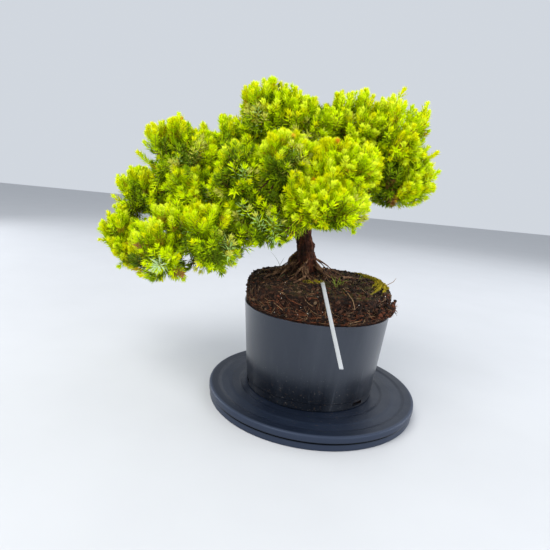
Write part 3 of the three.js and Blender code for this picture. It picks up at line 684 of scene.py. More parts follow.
def makeSoil():
    sides = soil["sides"]
    centreX, centreY = pot["centre"]
    rows = [(soilSide(z), z) for z in (soil["bottom"], 60, 100)]
    rows += [(soilSide(z), z) for z in np.linspace(112, soil["edge"] - 0.6, 34)]
    points = []
    for radius, z in rows:
        for k in range(sides):
            angle = 2 * math.pi * k / sides
            x, y = math.cos(angle), math.sin(angle)
            reach = radius
            if z > pot["height"] - 3:
                fade = min(1, (z - pot["height"] + 3) / 6)
                lumps = noise.fractal(Vector((x * radius, y * radius, z)) * 0.11, 0.8, 2.1, 5)
                reach += fade * (soil["rough"] * 0.9 * lumps - 0.5)
                reach += fade * 0.8 * noise.noise(Vector((x * 34, y * 34, z * 0.5)))
            points.append((centreX + reach * x, centreY + reach * y, z))
    edge, topRows = soilSide(soil["edge"]), soil["topRows"]
    for row in range(topRows):
        share = 1 - row / topRows
        for k in range(sides):
            angle = 2 * math.pi * k / sides
            x = centreX + edge * share * math.cos(angle)
            y = centreY + edge * share * math.sin(angle)
            lumps = noise.fractal(Vector((x, y, 40)) * 0.13, 0.75, 2.1, 5)
            z = soilTop(x, y) - 0.7 + soil["rough"] * 0.75 * lumps
            if overMarker((x, y, z), 3.4):
                z = min(z, soilTop(x, y) - 1.8)
            points.append((x, y, z))
    points.append((centreX, centreY, soilTop(centreX, centreY) - 0.4))
    total = len(rows) + topRows
    faces = ringQuads(total - 1, sides)
    last = (total - 1) * sides
    for k in range(sides):
        faces.append([last + k, last + (k + 1) % sides, len(points) - 1])
    faces.append(list(range(sides))[::-1])
    makePiece("rootBall", points, faces, [soilPaint()], ["root_ball"])


def surfacePlace(random, onTop):
    # a spot on the bare part of the root ball, with the way out of it
    angle = random.uniform(0, 2 * math.pi)
    centreX, centreY = pot["centre"]
    if onTop:
        radius = soil["bare"] * math.sqrt(random.uniform(0.01, 1))
        x, y = centreX + radius * math.cos(angle), centreY + radius * math.sin(angle)
        return np.array([x, y, soilTop(x, y) - 0.4]), up
    z = random.uniform(pot["height"] + 0.5, soil["edge"] - 1)
    radius = soilSide(z) - 0.2
    way = np.array([math.cos(angle), math.sin(angle), 0])
    return np.array([centreX + radius * way[0], centreY + radius * way[1], z]), way


def makeBall():
    ball = bmesh.new()
    bmesh.ops.create_icosphere(ball, subdivisions=1, radius=1)
    points = np.array([vert.co[:] for vert in ball.verts])
    faces = np.array([[vert.index for vert in face.verts] for face in ball.faces])
    ball.free()
    return points, faces


def addLump(heap, ball, random, place, size, index, flat=0.75):
    points, faces = ball
    stretch = size * random.uniform(0.6, 1.25, 3) * (1, 1, flat)
    spin = Matrix.Rotation(random.uniform(0, 6), 3, Vector(random.normal(size=3)).normalized())
    shaped = points * random.uniform(0.8, 1.15, (len(points), 1)) * stretch
    heap.add(shaped @ np.array(spin) + place, faces, index)


def rootletPath(random, number, band, onTop):
    # a fine root that wanders over the soil, lifting a little off it
    place, way = surfacePlace(random, onTop)
    if band:  # the mat that the pot's wall pressed flat
        place[2] = pot["height"] + 1 + abs(random.normal()) * 5.5
    length = random.uniform(7, 26) if band else random.uniform(5, 17)
    side = np.array([1.0, 0, 0]) if onTop else np.cross(way, up)
    lift = np.array([0, 1.0, 0]) if onTop else up
    slope = random.uniform(0, 2 * math.pi) if onTop else random.normal() * (0.3 if band else 1.3)
    going = side * math.cos(slope) + lift * math.sin(slope)
    bend = random.normal() * 0.35
    centre = np.array(pot["centre"])
    path = []
    for share in np.linspace(0, 1, 9):
        going = going + np.cross(way, going) * bend * 0.25 + random.normal(size=3) * 0.12
        place = place + going / np.linalg.norm(going) * length / 9
        arch = 0.2 + (0.9 if number % 5 == 0 else 0.35) * math.sin(math.pi * share)
        if onTop:
            if np.linalg.norm(place[:2] - centre) > soil["bare"]:
                break
            path.append((place[0], place[1], soilTop(place[0], place[1]) - 0.5 + arch))
        else:
            z = min(max(place[2], pot["height"] + 0.4), soil["edge"] - 1)
            flat = place[:2] - centre
            flat = centre + flat / np.linalg.norm(flat) * (soilSide(z) - 0.1 + arch)
            path.append((flat[0], flat[1], z))
    return path


def makeSoilDetail():
    random = np.random.RandomState(21)
    ball = makeBall()
    crumbs = Heap()
    for _ in range(soil["crumbs"]):
        place, way = surfacePlace(random, random.uniform() < 0.62)
        size = random.choice([0.6, 0.95, 1.5, 2.4], p=[0.38, 0.34, 0.2, 0.08])
        kind = random.choice([0, 1, 2, 3], p=[0.52, 0.34, 0.05, 0.09])
        if overMarker(place):
            continue
        addLump(crumbs, ball, random, place + way * size * 0.15, size, kind)
    middle = np.array(clump["at"], float)
    outward = unit((middle - np.array([*pot["centre"], middle[2]])))
    along = np.cross(up, outward)
    for _ in range(clump["lumps"]):
        across, lift, out = np.clip(random.normal(size=3), -1.7, 1.7)
        place = middle + along * across * clump["wide"] + up * (lift * clump["tall"] + 3)
        place = place + outward * (out * 1.4 + 3 - across * across * 2)
        size = random.uniform(0.9, 2.3)
        addLump(crumbs, ball, random, place, size, random.choice([0, 1, 2], p=[0.34, 0.42, 0.24]))
    chip = np.array([27, -20, soilTop(27, -20) + 0.8])
    addLump(crumbs, ball, random, chip, 2.3, 2, 0.35)
    crumbs.piece("soilCrumbs", [
        plainPaint("crumbDark", tint(26, 16, 10), 0.95), plainPaint("crumbBrown", tint(66, 40, 26), 0.95),
        plainPaint("crumbRed", tint(92, 50, 31), 0.95), plainPaint("crumbGrey", tint(100, 80, 59), 0.95),
    ], "soil")

    grains = Heap()
    for _ in range(soil["grains"]):
        place, way = surfacePlace(random, random.uniform() < 0.4)
        addLump(grains, ball, random, place + way * 0.35, random.uniform(0.35, 0.7), 0, 0.9)
    grains.piece("whiteGrains", [plainPaint("grainWhite", tint(222, 218, 208), 0.8)], "soil")

    rootlets = Heap()
    for number in range(soil["rootlets"]):
        band = number < soil["rootlets"] * soil["matShare"]
        onTop = not band and random.uniform() < 0.5
        path = rootletPath(random, number, band, onTop)
        if len(path) > 3 and not any(overMarker(place) for place in path):
            thick = random.uniform(0.17, 0.36) * (1.5 if number % 9 == 0 else 1)
            kind = random.choice([0, 1, 2], p=[0.54, 0.34, 0.12] if band else [0.16, 0.58, 0.26])
            rootlets.tube(path, np.linspace(thick, thick * 0.5, len(path)), kind)
    for _ in range(clump["ends"]):  # torn ends that stand out of the clot
        start = middle + along * random.normal() * 9 + up * (random.normal() * 3 + 3.5) + outward * 3
        going = outward * random.uniform(0.3, 1) + random.normal(size=3) * 0.7
        bend = random.normal(size=3) * 0.5
        path = [start + (going + bend * share) * share * clump["endLength"] for share in np.linspace(0, 1, 4)]
        rootlets.tube(path, [0.4, 0.34, 0.28, 0.16], random.choice([0, 1, 2], p=[0.4, 0.45, 0.15]))
    # a dry stem that trails from the seedling to the rim, and one that stands out at the right
    trail = [(x, y, soilTop(x, y) + 0.4) for x, y in ((23, -41), (28, -52), (31, -64), (34, -74))]
    rootlets.tube(trail + [(37, -80, 137)], [0.6, 0.6, 0.55, 0.5, 0.3], 2)
    rootlets.tube([(70, -1, 146), (77, 1, 150), (84, 4, 154), (87, 7, 158)], [0.5, 0.45, 0.4, 0.2], 2)
    rootlets.piece("fineRoots", [
        plainPaint("rootletOrange", tint(124, 68, 38)), plainPaint("rootletBrown", tint(84, 57, 38)),
        plainPaint("rootletTan", tint(146, 116, 82)),
    ], "soil", smooth=True)
    print("soil made")


# moss and the few weeds in it

moss = {
    "pads": [
        # distance from the pot's middle and turn about it, then the reach across and along
        {"node": "moss_right", "away": 73, "turn": 9, "reach": (9, 46), "rise": 3.2, "ragged": 0.95,
         "tufts": 4600, "shares": [0.28, 0.3, 0.2, 0.22]},
        {"node": "moss_front", "away": 40.5, "turn": -98.5, "reach": (5, 10), "rise": 0.9, "ragged": 0.9,
         "tufts": 420, "shares": [0.1, 0.45, 0.05, 0.4]},
    ],
    "colours": [tint(192, 170, 24), tint(140, 130, 26), tint(214, 192, 40), tint(86, 74, 26)],
    "tall": 2.1, "sides": 72, "rows": 20,
}
weeds = {
    # place, number of blades, height, and 0 for a seedling's green or 1 for grass
    "clumps": [(16, -40, 7, 19, 0), (21, -30, 3, 12, 0), (-57, 58, 2, 24, 1), (44, 10, 3, 9, 0),
               (-48, -24, 2, 8, 1)],
    "colours": [tint(128, 140, 44), tint(86, 106, 66)],
}


def mossPlace(pad, share, angle):
    at = Vector((math.cos(angle) * 2.6, math.sin(angle) * 2.6, pad["rise"]))
    rough = 1 + pad["ragged"] * noise.fractal(at, 0.8, 2.0, 3)
    away = min(pad["away"] + rough * pad["reach"][0] * share * math.cos(angle), 81.5)
    turn = math.radians(pad["turn"]) + rough * pad["reach"][1] * share * math.sin(angle) / pad["away"]
    placeX = pot["centre"][0] + away * math.cos(turn)
    placeY = pot["centre"][1] + away * math.sin(turn)
    swell = pad["rise"] * math.sqrt(max(0, 1 - share * share)) - 1.2 * share
    swell += 0.9 * noise.noise(Vector((placeX, placeY, 0)) * 0.25)
    return placeX, placeY, soilTop(placeX, placeY) + max(swell, -1.5)


def makeMoss():
    ground = Paint("mossBed", 0.95)
    mottle = ground.noise(420, 4)
    bed = ground.finish(ground.ramp(mottle, [(0.35, tint(58, 54, 22)), (0.55, moss["colours"][1]),
                                             (0.7, moss["colours"][0])]), None, mottle, 0.0012)
    paints = [bed] + [plainPaint(f"mossTuft{k}", colour, 0.85) for k, colour in enumerate(moss["colours"])]
    sides, rows = moss["sides"], moss["rows"]
    for number, pad in enumerate(moss["pads"]):
        random = np.random.RandomState(60 + number)
        heap = Heap()
        points = [mossPlace(pad, row / rows, 2 * math.pi * k / sides)
                  for row in range(1, rows + 1) for k in range(sides)]
        points.append(mossPlace(pad, 0, 0))
        faces = []
        for k in range(sides):
            after = (k + 1) % sides
            faces.append((len(points) - 1, k, after))
            for row in range(rows - 1):
                low = row * sides
                faces.append((low + k, low + sides + k, low + sides + after))
                faces.append((low + k, low + sides + after, low + after))
        heap.add(points, faces, 0)
        for _ in range(pad["tufts"]):
            share = math.sqrt(random.uniform(0, 0.8))
            place = np.array(mossPlace(pad, share, random.uniform(0, 2 * math.pi)))
            lean = up + random.normal(size=3) * 0.45
            tip = place + lean / np.linalg.norm(lean) * moss["tall"] * random.uniform(0.45, 1.1)
            side = np.cross(lean, random.normal(size=3))
            side *= 0.34 / np.linalg.norm(side)
            other = np.cross(lean, side) * 0.9
            heap.add([place + side, place - side * 0.5 + other, place - side * 0.5 - other, tip],
                     [(0, 1, 3), (1, 2, 3), (2, 0, 3)], random.choice([1, 2, 3, 4], p=pad["shares"]))
        heap.piece(f"mossPad{number}", paints, "moss", [pad["node"]])

    random = np.random.RandomState(71)
    blades = Heap()
    for atX, atY, count, tall, kind in weeds["clumps"]:
        for _ in range(count):
            root = np.array([atX + random.normal() * 1.6, atY + random.normal() * 1.6, 0])
            root[2] = soilTop(root[0], root[1]) - 1
            lean = up + random.normal(size=3) * (0.35, 0.35, 0)
            length = tall * random.uniform(0.35, 1)
            droop = np.array([lean[0], lean[1], -0.3]) * length * 0.5
            path = [root + lean * length * share + droop * share ** 2 for share in np.linspace(0, 1, 5)]
            wide = 0.26 if kind else 0.45
            blades.tube(path, [wide, wide, wide * 0.9, wide * 0.6, wide * 0.2], kind)
    greens = [plainPaint(f"weedGreen{k}", colour) for k, colour in enumerate(weeds["colours"])]
    blades.piece("weedBlades", greens, "moss", smooth=True)
    print("moss made")


# marker

def makeMarker():
    paint = Paint("markerPlastic", 0.42)
    nearSoil = paint.band(paint.axis("Y"), -0.075, -0.04)
    stain = paint.noise(240, 5, (1, 0.35, 1))
    grimy = paint.band(stain, 0.42, 0.7) * (0.06 + nearSoil * 0.3)
    colour = paint.blend(grimy, marker["colour"], marker["grime"])
    roughness = 0.4 + paint.band(stain, 0.4, 0.7) * 0.2
    paint.finish(colour, roughness, paint.noise(700, 2, (1, 0.1, 1)), 0.00008)
    entry, end = np.array(marker["entry"], float), np.array(marker["end"], float)
    way = (end - entry) / np.linalg.norm(end - entry)
    across = np.cross(up, way)
    across /= np.linalg.norm(across)
    above = np.cross(way, across)
    thick = marker["thickness"]
    strip = bmesh.new()
    rings = []
    for share in np.linspace(0, 1, 13):
        place = (entry - way * marker["buried"]) * (1 - share) + end * share
        width = marker["widthInner"] * (1 - share) + marker["widthEnd"] * share
        rings.append([strip.verts.new((place + across * side * width / 2 + above * level * thick / 2) * mm)
                      for side, level in ((-1, -1), (1, -1), (1, 1), (-1, 1))])
    for low, high in zip(rings, rings[1:]):
        for k in range(4):
            strip.faces.new([low[k], low[(k + 1) % 4], high[(k + 1) % 4], high[k]])
    strip.faces.new(rings[0][::-1])
    strip.faces.new(rings[-1])
    bmesh.ops.recalc_face_normals(strip, faces=strip.faces)
    corners = [e for e in strip.edges if len(e.link_faces) == 2 and e.calc_face_angle() > 0.8]
    bmesh.ops.bevel(strip, geom=corners, offset=marker["edge"] * mm, segments=2, profile=0.5, affect="EDGES")
    mesh = bpy.data.meshes.new("markerStrip")
    strip.to_mesh(mesh)
    strip.free()
    mesh.materials.append(paint.material)
    mesh.set_sharp_from_angle(angle=math.radians(50))
    addPiece("markerStrip", mesh, ["marker"])
    print("marker made")


# trunk, boughs and roots

roots = [
    ("root_left", 203, 40, 2.9, -7), ("root_front", 262, 34, 2.6, 4), ("root_front_right", 291, 28, 2.2, -3),
    ("root_right_low", 336, 46, 2.5, 5), ("root_right", 6, 56, 2.6, -8), ("root_back_right", 58, 44, 2.6, 6),
    ("root_back_left", 118, 46, 2.8, -6), ("root_left_high", 166, 46, 2.4, 6),
]
# each mass: its name, middle and reach, then the limb that its bough grows from, at what share of it,
# the bough's radius and its arch; the trunk itself carries the first
masses = [dict(zip(("name", "at", "reach", "grows"), row)) for row in [
    ("crest_middle", (-79, 15, 338), (39, 42, 34)),
    ("crest_right", (-31, 10, 324), (28, 34, 31), ("trunk", 0.84, 2.6, 2)),
    ("crest_shoulder", (-129, 18, 291), (33, 34, 38), ("upper_left", 0.42, 2.4, 5)),
    ("upper_left", (-179, 0, 283), (47, 42, 38), ("trunk", 0.73, 4.2, 8)),
    ("upper_right", (22, 30, 333), (43, 44, 36), ("trunk", 0.69, 4, -6)),
    ("right_tip", (74, 22, 322), (33, 44, 48), ("right_low", 0.5, 3.2, -3)),
    ("right_low", (75, 30, 271), (44, 42, 31), ("trunk", 0.43, 4.8, -4)),
    ("right_front", (9, -38, 279), (42, 36, 29), ("trunk", 0.53, 3.4, 3)),
    ("low_right", (-3, -62, 240), (44, 34, 27), ("trunk", 0.37, 4.2, 3)),
    ("middle_front", (-50, -52, 280), (28, 34, 31), ("trunk", 0.61, 3.2, 3)),
    ("middle_left", (-99, -45, 264), (27, 34, 34), ("trunk", 0.57, 3.2, 4)),
    ("middle_low", (-70, -38, 219), (38, 36, 34), ("low_left_inner", 0.3, 2.6, 2)),
    ("mid_left", (-150, -15, 239), (43, 36, 30), ("far_left", 0.34, 2.8, 3)),
    ("far_left", (-238, 40, 228), (42, 38, 34), ("trunk", 0.5, 4.6, 12)),
    ("low_left_inner", (-124, -55, 191), (36, 36, 40), ("trunk", 0.33, 4.4, 8)),
    ("low_left_outer", (-175, -48, 178), (42, 38, 45), ("trunk", 0.42, 4.6, 14)),
    ("far_left_low", (-248, 5, 171), (31, 34, 39), ("low_left_outer", 0.45, 3, 8)),
    ("back_left", (-170, 74, 264), (52, 44, 38), ("trunk", 0.63, 3.8, 6)),
    ("back_middle", (-88, 92, 285), (50, 44, 44), ("trunk", 0.67, 3.2, 4)),
    ("back_right", (0, 95, 290), (48, 40, 40), ("trunk", 0.56, 3.6, 3)),
    ("back_low", (-50, 72, 236), (46, 38, 26), ("trunk", 0.47, 3, 2)),
]]
bough = {"tip": 0.56, "enters": 0.86, "sides": 18, "ringEvery": 1.5}


def trunkRadius(share, angle=0.0):
    low = min(share / trunk["forkShare"], 1)
    high = max((share - trunk["forkShare"]) / (1 - trunk["forkShare"]), 0)
    taper = trunk["foot"] + (trunk["fork"] - trunk["foot"]) * low + (trunk["tip"] - trunk["fork"]) * high
    spread = trunk["flare"] * math.exp(-(share / trunk["flareShare"]) ** 2)
    return (taper * (1 + 0.06 * math.cos(3 * angle + 9 * share))
            + spread * (0.65 + 0.35 * math.cos(5 * angle + 0.6)))


def boughCurve(mass, parent):
    _, leaves, _, arch = mass["grows"]
    start = parent.at(leaves)
    centre = np.array(mass["at"], float)
    inward = start - centre
    span = np.linalg.norm(inward / np.array(mass["reach"]))
    end = centre + inward * min(bough["enters"] / span, 0.6)
    random = makeRandom(mass["at"][0] * 7 + mass["at"][2])
    across = np.array([-inward[1], inward[0], 0])
    across /= np.linalg.norm(across)
    points = [start]
    for share in (0.2, 0.45, 0.72):
        point = start + (end - start) * share
        point[2] += arch * math.sin(math.pi * share) + (random() - 0.5) * 2
        points.append(point + across * (random() - 0.5) * 0.07 * np.linalg.norm(inward))
    return Curve([*points, end])


def layLimbs():
    limbs = {"trunk": {"curve": Curve(trunk["path"], 40), "radius": trunkRadius}}

    def lay(mass):
        if mass["name"] in limbs:
            return
        parent, _, radius, _ = mass["grows"]
        if parent != "trunk":
            lay(next(other for other in masses if other["name"] == parent))
        limbs[mass["name"]] = {
            "curve": boughCurve(mass, limbs[parent]["curve"]),
            "radius": lambda share, angle=0.0: radius * (1 - (1 - bough["tip"]) * share),
        }

    for mass in masses:
        if "grows" in mass:
            lay(mass)
    return limbs


def rootCurve(turn, length, radius, sway, lift=8.0, seed=None, landing=0.32):
    angle = math.radians(turn)
    random = makeRandom(turn if seed is None else seed)
    points = []
    for share in (0, 0.14, 0.32, 0.55, 0.78, 1):
        along = 5 + share * (length + 8)
        aside = sway * math.sin(share * 4) + (random() - 0.5) * 2
        x = trunk["path"][0][0] + along * math.cos(angle) - aside * math.sin(angle)
        y = trunk["path"][0][1] + along * math.sin(angle) + aside * math.cos(angle)
        thick = radius + (0.9 - radius) * share
        ground = soilTop(x, y) + thick * 0.4
        fall = max(0, 1 - share / landing)
        points.append((x, y, ground + fall * (trunk["ground"] + lift - ground)))
    return Curve(points)


def barkPaint(name, stretch, tones):
    paint = Paint(name, 0.9, 0.25)
    strips = paint.noise(210, 7, stretch, 0.65)
    flakes = paint.noise(520, 6, [1 + (c - 1) * 0.6 for c in stretch], 0.7)
    patches = paint.noise(42, 4)
    colour = paint.ramp(strips * 0.62 + flakes * 0.38, list(zip((0.38, 0.5, 0.58, 0.68), tones)))
    colour = paint.blend(paint.band(patches, 0.52, 0.7) * 0.45, colour, tones[0])
    return paint.finish(colour, None, strips * 0.7 + flakes * 0.4, 0.0022)


def barkRelief(depth, seed):
    def relief(angle, along, radius):
        x, y = math.cos(angle) * radius, math.sin(angle) * radius
        strips = noise.fractal(Vector((x * 0.55, y * 0.55, along * 0.075 + seed)), 0.7, 2.2, 4)
        plates = abs(noise.noise(Vector((x * 0.32, y * 0.32, along * 0.11 + seed * 2))))
        return depth * (0.75 * strips - 0.8 * max(0, 1 - plates / 0.14))
    return relief


def makeBark(limbs):
    rough = barkRelief(1.5, 3)

    def relief(angle, along, radius):
        depth = rough(angle, along, radius)
        height = trunk["path"][0][2] + along
        for turn, level, rise, size in trunk["stubs"]:
            apart = (angle - turn + math.pi) % (2 * math.pi) - math.pi
            depth += rise * math.exp(-((apart * radius) ** 2 + (height - level) ** 2) / size ** 2)
        return depth

    points, faces = limbShell(limbs["trunk"]["curve"], trunkRadius, trunk["sides"], trunk["rings"], relief)
    bark = barkPaint("trunkBark", (1, 1, 0.3), trunk["tones"])
    makePiece("trunkBark", points, faces, [bark], ["trunk"])

    parts = []
    carried = [mass for mass in masses if "grows" in mass]
    for number, mass in enumerate(carried):
        limb = limbs[mass["name"]]
        length = limb["curve"].length

        def boughRadius(share, angle, limb=limb, length=length):
            return limb["radius"](share) * (1 + 0.3 * math.exp(-(share * length / 11) ** 2))

        rings = int(length / bough["ringEvery"])
        parts.append(limbShell(limb["curve"], boughRadius, bough["sides"], rings,
                               barkRelief(0.5, 10 + number)))
    points, faces = joined(parts)
    bark = barkPaint("boughBark", (0.7, 0.7, 0.7), trunk["tones"])
    makePiece("boughBark", points, faces, [bark], [f"bough_{mass['name']}" for mass in carried])

    burl = Curve([(-31, -2, 152), (-35, 2, 158), (-37, 5, 165), (-34, 7, 172), (-30, 6, 177)])
    parts = [limbShell(burl, lambda share, angle: 0.6 + 4.6 * math.sin(math.pi * (0.25 + 0.68 * share)),
                       48, 56, barkRelief(3.2, 40))]
    for number, (name, turn, length, radius, sway) in enumerate(roots):
        parts.append(limbShell(rootCurve(turn, length, radius, sway),
                               lambda share, angle, r=radius: r + (0.9 - r) * share,
                               16, 60, barkRelief(0.45, 70 + number)))
    random = np.random.RandomState(33)
    stays = trunk["stays"]
    for number in range(stays):  # thinner roots that come down from the trunk's foot
        radius = random.uniform(0.7, 1.5)
        turn = number * 360 / stays + random.normal() * 4
        length, sway = random.uniform(18, 46), random.normal() * 5
        lift, landing = random.uniform(4, 17), random.uniform(0.5, 0.9)
        curve = rootCurve(turn, length, radius, sway, lift, 100 + number, landing)
        parts.append(limbShell(curve, lambda share, angle, r=radius: r + (0.3 - r) * share,
                               8, 36, barkRelief(0.2, 100 + number)))
    points, faces = joined(parts)
    bark = barkPaint("rootBark", (0.8, 0.8, 0.8), trunk["rootTones"])
    makePiece("rootBark", points, faces, [bark], [name for name, *_ in roots])
    print("bark made")


# foliage

foliage = {
    "fullness": 2.5, "gap": 0.2, "twigs": 9, "twigRadius": (1.5, 0.9), "twigReach": 0.42, "clear": 3,
    "crossing": 14, "spilling": ("low_left_outer", "far_left_low", "far_left"), "boughSpray": 22,
    "sprays": 36, "innerSprays": 8, "spray": 35, "sideShoots": 5, "sideLean": (22, 50),
    "shootRadius": (0.62, 0.3), "sideRadius": (0.45, 0.25), "shortest": (7, 6), "heart": (-70, 10, 235),
    "whorl": 3, "needleFold": 0.32, "needleMiddle": 0.38, "alike": 0.84, "keep": 0.76,
    "seamSprays": 6, "seamRise": 4, "boughSprayEvery": 8, "boughShare": (0.45, 0.97),
}
# how a shoot carries its needles: close together in the light, longer and wide apart in the shade
habits = {
    "dense": {"every": 0.95, "needle": 8.4, "width": 0.8, "tipNeedles": 16, "tipLength": 6, "lean": (30, 48),
              "tipLean": 40},
    "loose": {"every": 2.2, "needle": 9.4, "width": 0.78, "tipNeedles": 9, "tipLength": 8, "lean": (34, 62),
              "tipLean": 52},
}
loosePalettes = ("middle", "cool", "pale", "shady", "hollowShade", "silver", "dead")
# deep, shade and dark are the darker greens that paint shade inside and under the masses and in the hollows
needleColours = {
    "tipLight": (234, 246, 54), "tipYellow": (230, 232, 2), "fresh": (216, 236, 0), "green": (186, 212, 0),
    "deep": (140, 168, 8), "shade": (92, 116, 14), "dark": (56, 78, 8),
    "blueGreen": (176, 210, 118), "silver": (196, 218, 160),
    "olive": (190, 166, 30), "straw": (206, 208, 84), "orange": (236, 176, 50), "dead": (150, 108, 56),
}
colourIndex = {name: k for k, name in enumerate(needleColours)}
# each row: from this share of a shoot outwards, these colours with these chances
palettes = {
    "bright": [(0, ("green", "olive", "deep"), (0.4, 0.25, 0.35)),
               (0.35, ("green", "fresh", "olive"), (0.45, 0.4, 0.15)),
               (0.62, ("fresh", "tipYellow", "green"), (0.6, 0.25, 0.15)),
               (0.84, ("tipLight", "tipYellow", "fresh"), (0.45, 0.25, 0.3))],
    "yellow": [(0, ("olive", "green"), (0.55, 0.45)), (0.35, ("olive", "fresh", "green"), (0.3, 0.5, 0.2)),
               (0.62, ("tipYellow", "fresh"), (0.5, 0.5)), (0.85, ("tipLight", "tipYellow"), (0.4, 0.6))],
    "middle": [(0, ("deep", "shade", "olive"), (0.6, 0.25, 0.15)), (0.3, ("deep", "green"), (0.45, 0.55)),
               (0.65, ("green", "fresh"), (0.6, 0.4)), (0.86, ("fresh", "tipYellow"), (0.7, 0.3))],
    "cool": [(0, ("deep", "shade"), (0.7, 0.3)), (0.3, ("green", "blueGreen", "deep"), (0.35, 0.35, 0.3)),
             (0.65, ("blueGreen", "green", "fresh"), (0.5, 0.35, 0.15)),
             (0.9, ("fresh", "straw"), (0.5, 0.5))],
    "pale": [(0, ("olive", "deep"), (0.7, 0.3)), (0.3, ("straw", "green", "blueGreen"), (0.5, 0.25, 0.25)),
             (0.75, ("straw", "fresh"), (0.6, 0.4))],
    "shady": [(0, ("shade", "deep"), (0.75, 0.25)), (0.5, ("deep", "shade", "green"), (0.6, 0.2, 0.2))],
    "hollowShade": [(0, ("dark", "shade"), (0.7, 0.3)), (0.6, ("shade", "deep"), (0.6, 0.4))],
    "orange": [(0, ("olive", "green"), (0.6, 0.4)), (0.45, ("fresh", "tipYellow"), (0.5, 0.5)),
               (0.88, ("orange", "tipYellow"), (0.65, 0.35))],
    "amber": [(0, ("olive", "tipYellow"), (0.6, 0.4)), (0.4, ("tipYellow", "orange"), (0.8, 0.2)),
              (0.8, ("tipYellow", "orange"), (0.75, 0.25))],
    "silver": [(0, ("blueGreen", "silver"), (0.5, 0.5)), (0.3, ("silver", "blueGreen"), (0.7, 0.3))],
    "dead": [(0, ("dead", "olive"), (0.75, 0.25))],
}
# lone shoots that stand out of the masses: root, tip, palette and scale
strays = [
    ((-88, 10, 340), (-90, 10, 367), "bright", 1), ((56, 22, 346), (68, 22, 370), "bright", 1),
    ((84, 25, 318), (96, 25, 357), "bright", 1), ((90, 25, 288), (114, 25, 305), "yellow", 1),
    ((84, 25, 262), (119, 25, 284), "bright", 1), ((72, 15, 262), (108, 15, 255), "middle", 0.9),
    ((-240, 2, 160), (-279, 0, 180), "bright", 1), ((-250, 4, 168), (-276, -4, 168), "bright", 0.9),
    ((-236, -8, 146), (-268, 0, 163), "bright", 0.8), ((-218, -10, 142), (-257, -2, 151), "bright", 0.8),
    ((-200, -20, 136), (-242, -6, 141), "yellow", 0.8), ((-186, -30, 134), (-222, -12, 132), "bright", 0.8),
    ((-252, 36, 205), (-279, 35, 220), "yellow", 1), ((-200, 0, 256), (-232, 0, 276), "yellow", 1),
    ((-168, 0, 298), (-184, 0, 322), "bright", 1), ((20, -60, 238), (26, -72, 216), "bright", 0.9),
    ((-171, -60, 162), (-172, -84, 160), "silver", 1.5), ((-163, -60, 165), (-158, -82, 170), "cool", 1.3),
    ((58, 0, 296), (68, -16, 318), "amber", 1), ((62, 2, 290), (80, -12, 310), "amber", 1),
    ((-183, -58, 172), (-196, -76, 178), "dead", 1), ((-166, -62, 156), (-146, -80, 154), "dead", 0.9),
]
# places seen from the front: open sky between the shoots, and hollows between the masses, whose sprays get
# dark needles as painted shade
openings = [
    ((-102, 15, 371), 6), ((-119, 15, 358), 6), ((-108, 15, 370), 6), ((-36, 12, 363), 9),
    ((-21, 15, 352), 7), ((-14, 20, 357), 8), ((-22, 15, 364), 9), ((12, 30, 376), 9),
    ((49, 25, 367), 8), ((81, 22, 365), 12), ((109, 25, 337), 10), ((107, 25, 320), 9),
    ((-149, 15, 314), 7), ((-149, 15, 324), 9), ((-283, 0, 152), 13), ((-274, 0, 140), 15),
    ((-253, -20, 124), 16), ((-228, -30, 117), 14), ((-196, -40, 116), 13), ((-163, -50, 120), 12),
    ((-134, -50, 130), 11), ((-230, 0, 204), 8), ((-221, 0, 207), 8), ((-155, -50, 161), 7),
    ((-148, -50, 164), 7),
]
hollows = [
    ((-74, -20, 229), 12), ((60, -20, 264), 12), ((-123, -20, 252), 9), ((-47, -20, 226), 8),
    ((-103, -20, 270), 7), ((-56, -20, 263), 6), ((-103, -20, 237), 7), ((-171, -20, 271), 8),
    ((-155, -20, 262), 7), ((-219, -20, 213), 7), ((-209, -20, 146), 7), ((-112, -20, 186), 9),
]


def near(spots, place):
    # whether a place lies close to a line of sight from the camera through one of these spots
    eye = np.array(camera["place"])
    for spot, radius in spots:
        sight = unit(np.array(spot, float) - eye)
        away = place - eye
        if np.linalg.norm(away - sight * sight.dot(away)) < radius:
            return True
    return False


def cutOff(path):
    return near(openings, path[2]) or near(openings, path[4])


def measure(vector, power):
    return (np.abs(vector) ** power).sum(-1) ** (1 / power)


def spaceOf(mass):
    # the room of a mass: its outline, and the planes between it and its neighbours
    centre, reach = np.array(mass["at"], float), np.array(mass["reach"], float)
    support = foliage["fullness"] / (foliage["fullness"] - 1)
    normals, offsets, beside = [], [], []
    for other in masses:
        if other is mass:
            continue
        way = np.array(other["at"], float) - centre
        distance = np.linalg.norm(way)
        normal = way / distance
        mine = measure(normal * reach, support)
        theirs = measure(normal * np.array(other["reach"], float), support)
        if mine + theirs > distance:
            normals.append(normal)
            offsets.append(distance * mine / (mine + theirs) - foliage["gap"])
            beside.append(other)
    return {"centre": centre, "room": reach - foliage["clear"], "normals": np.array(normals),
            "offsets": np.array(offsets), "beside": beside}


def depthIn(mass, place):
    # 0 at the middle of a mass, 1 on its outline
    room = np.array(mass["reach"], float) - foliage["clear"]
    return measure((place - np.array(mass["at"], float)) / room, foliage["fullness"])


def reachAlong(space, way):
    outline = 1 / measure(way / space["room"], foliage["fullness"])
    facing = space["normals"] @ way
    limits = space["offsets"][facing > 1e-6] / facing[facing > 1e-6]
    return outline, min([outline, *limits])


def spread(count):
    ways = []
    for i in range(count):
        z = 1 - (2 * i + 1) / count
        ring = math.sqrt(1 - z * z)
        ways.append(np.array([ring * math.cos(i * gold), ring * math.sin(i * gold), z]))
    return ways


def bentPath(root, way, length, rise, steps=5):
    # a shoot that sets off one way and turns upwards
    shares = np.linspace(0, 1, steps)[:, None]
    return root + way * length * shares + up * rise * length * shares ** 2


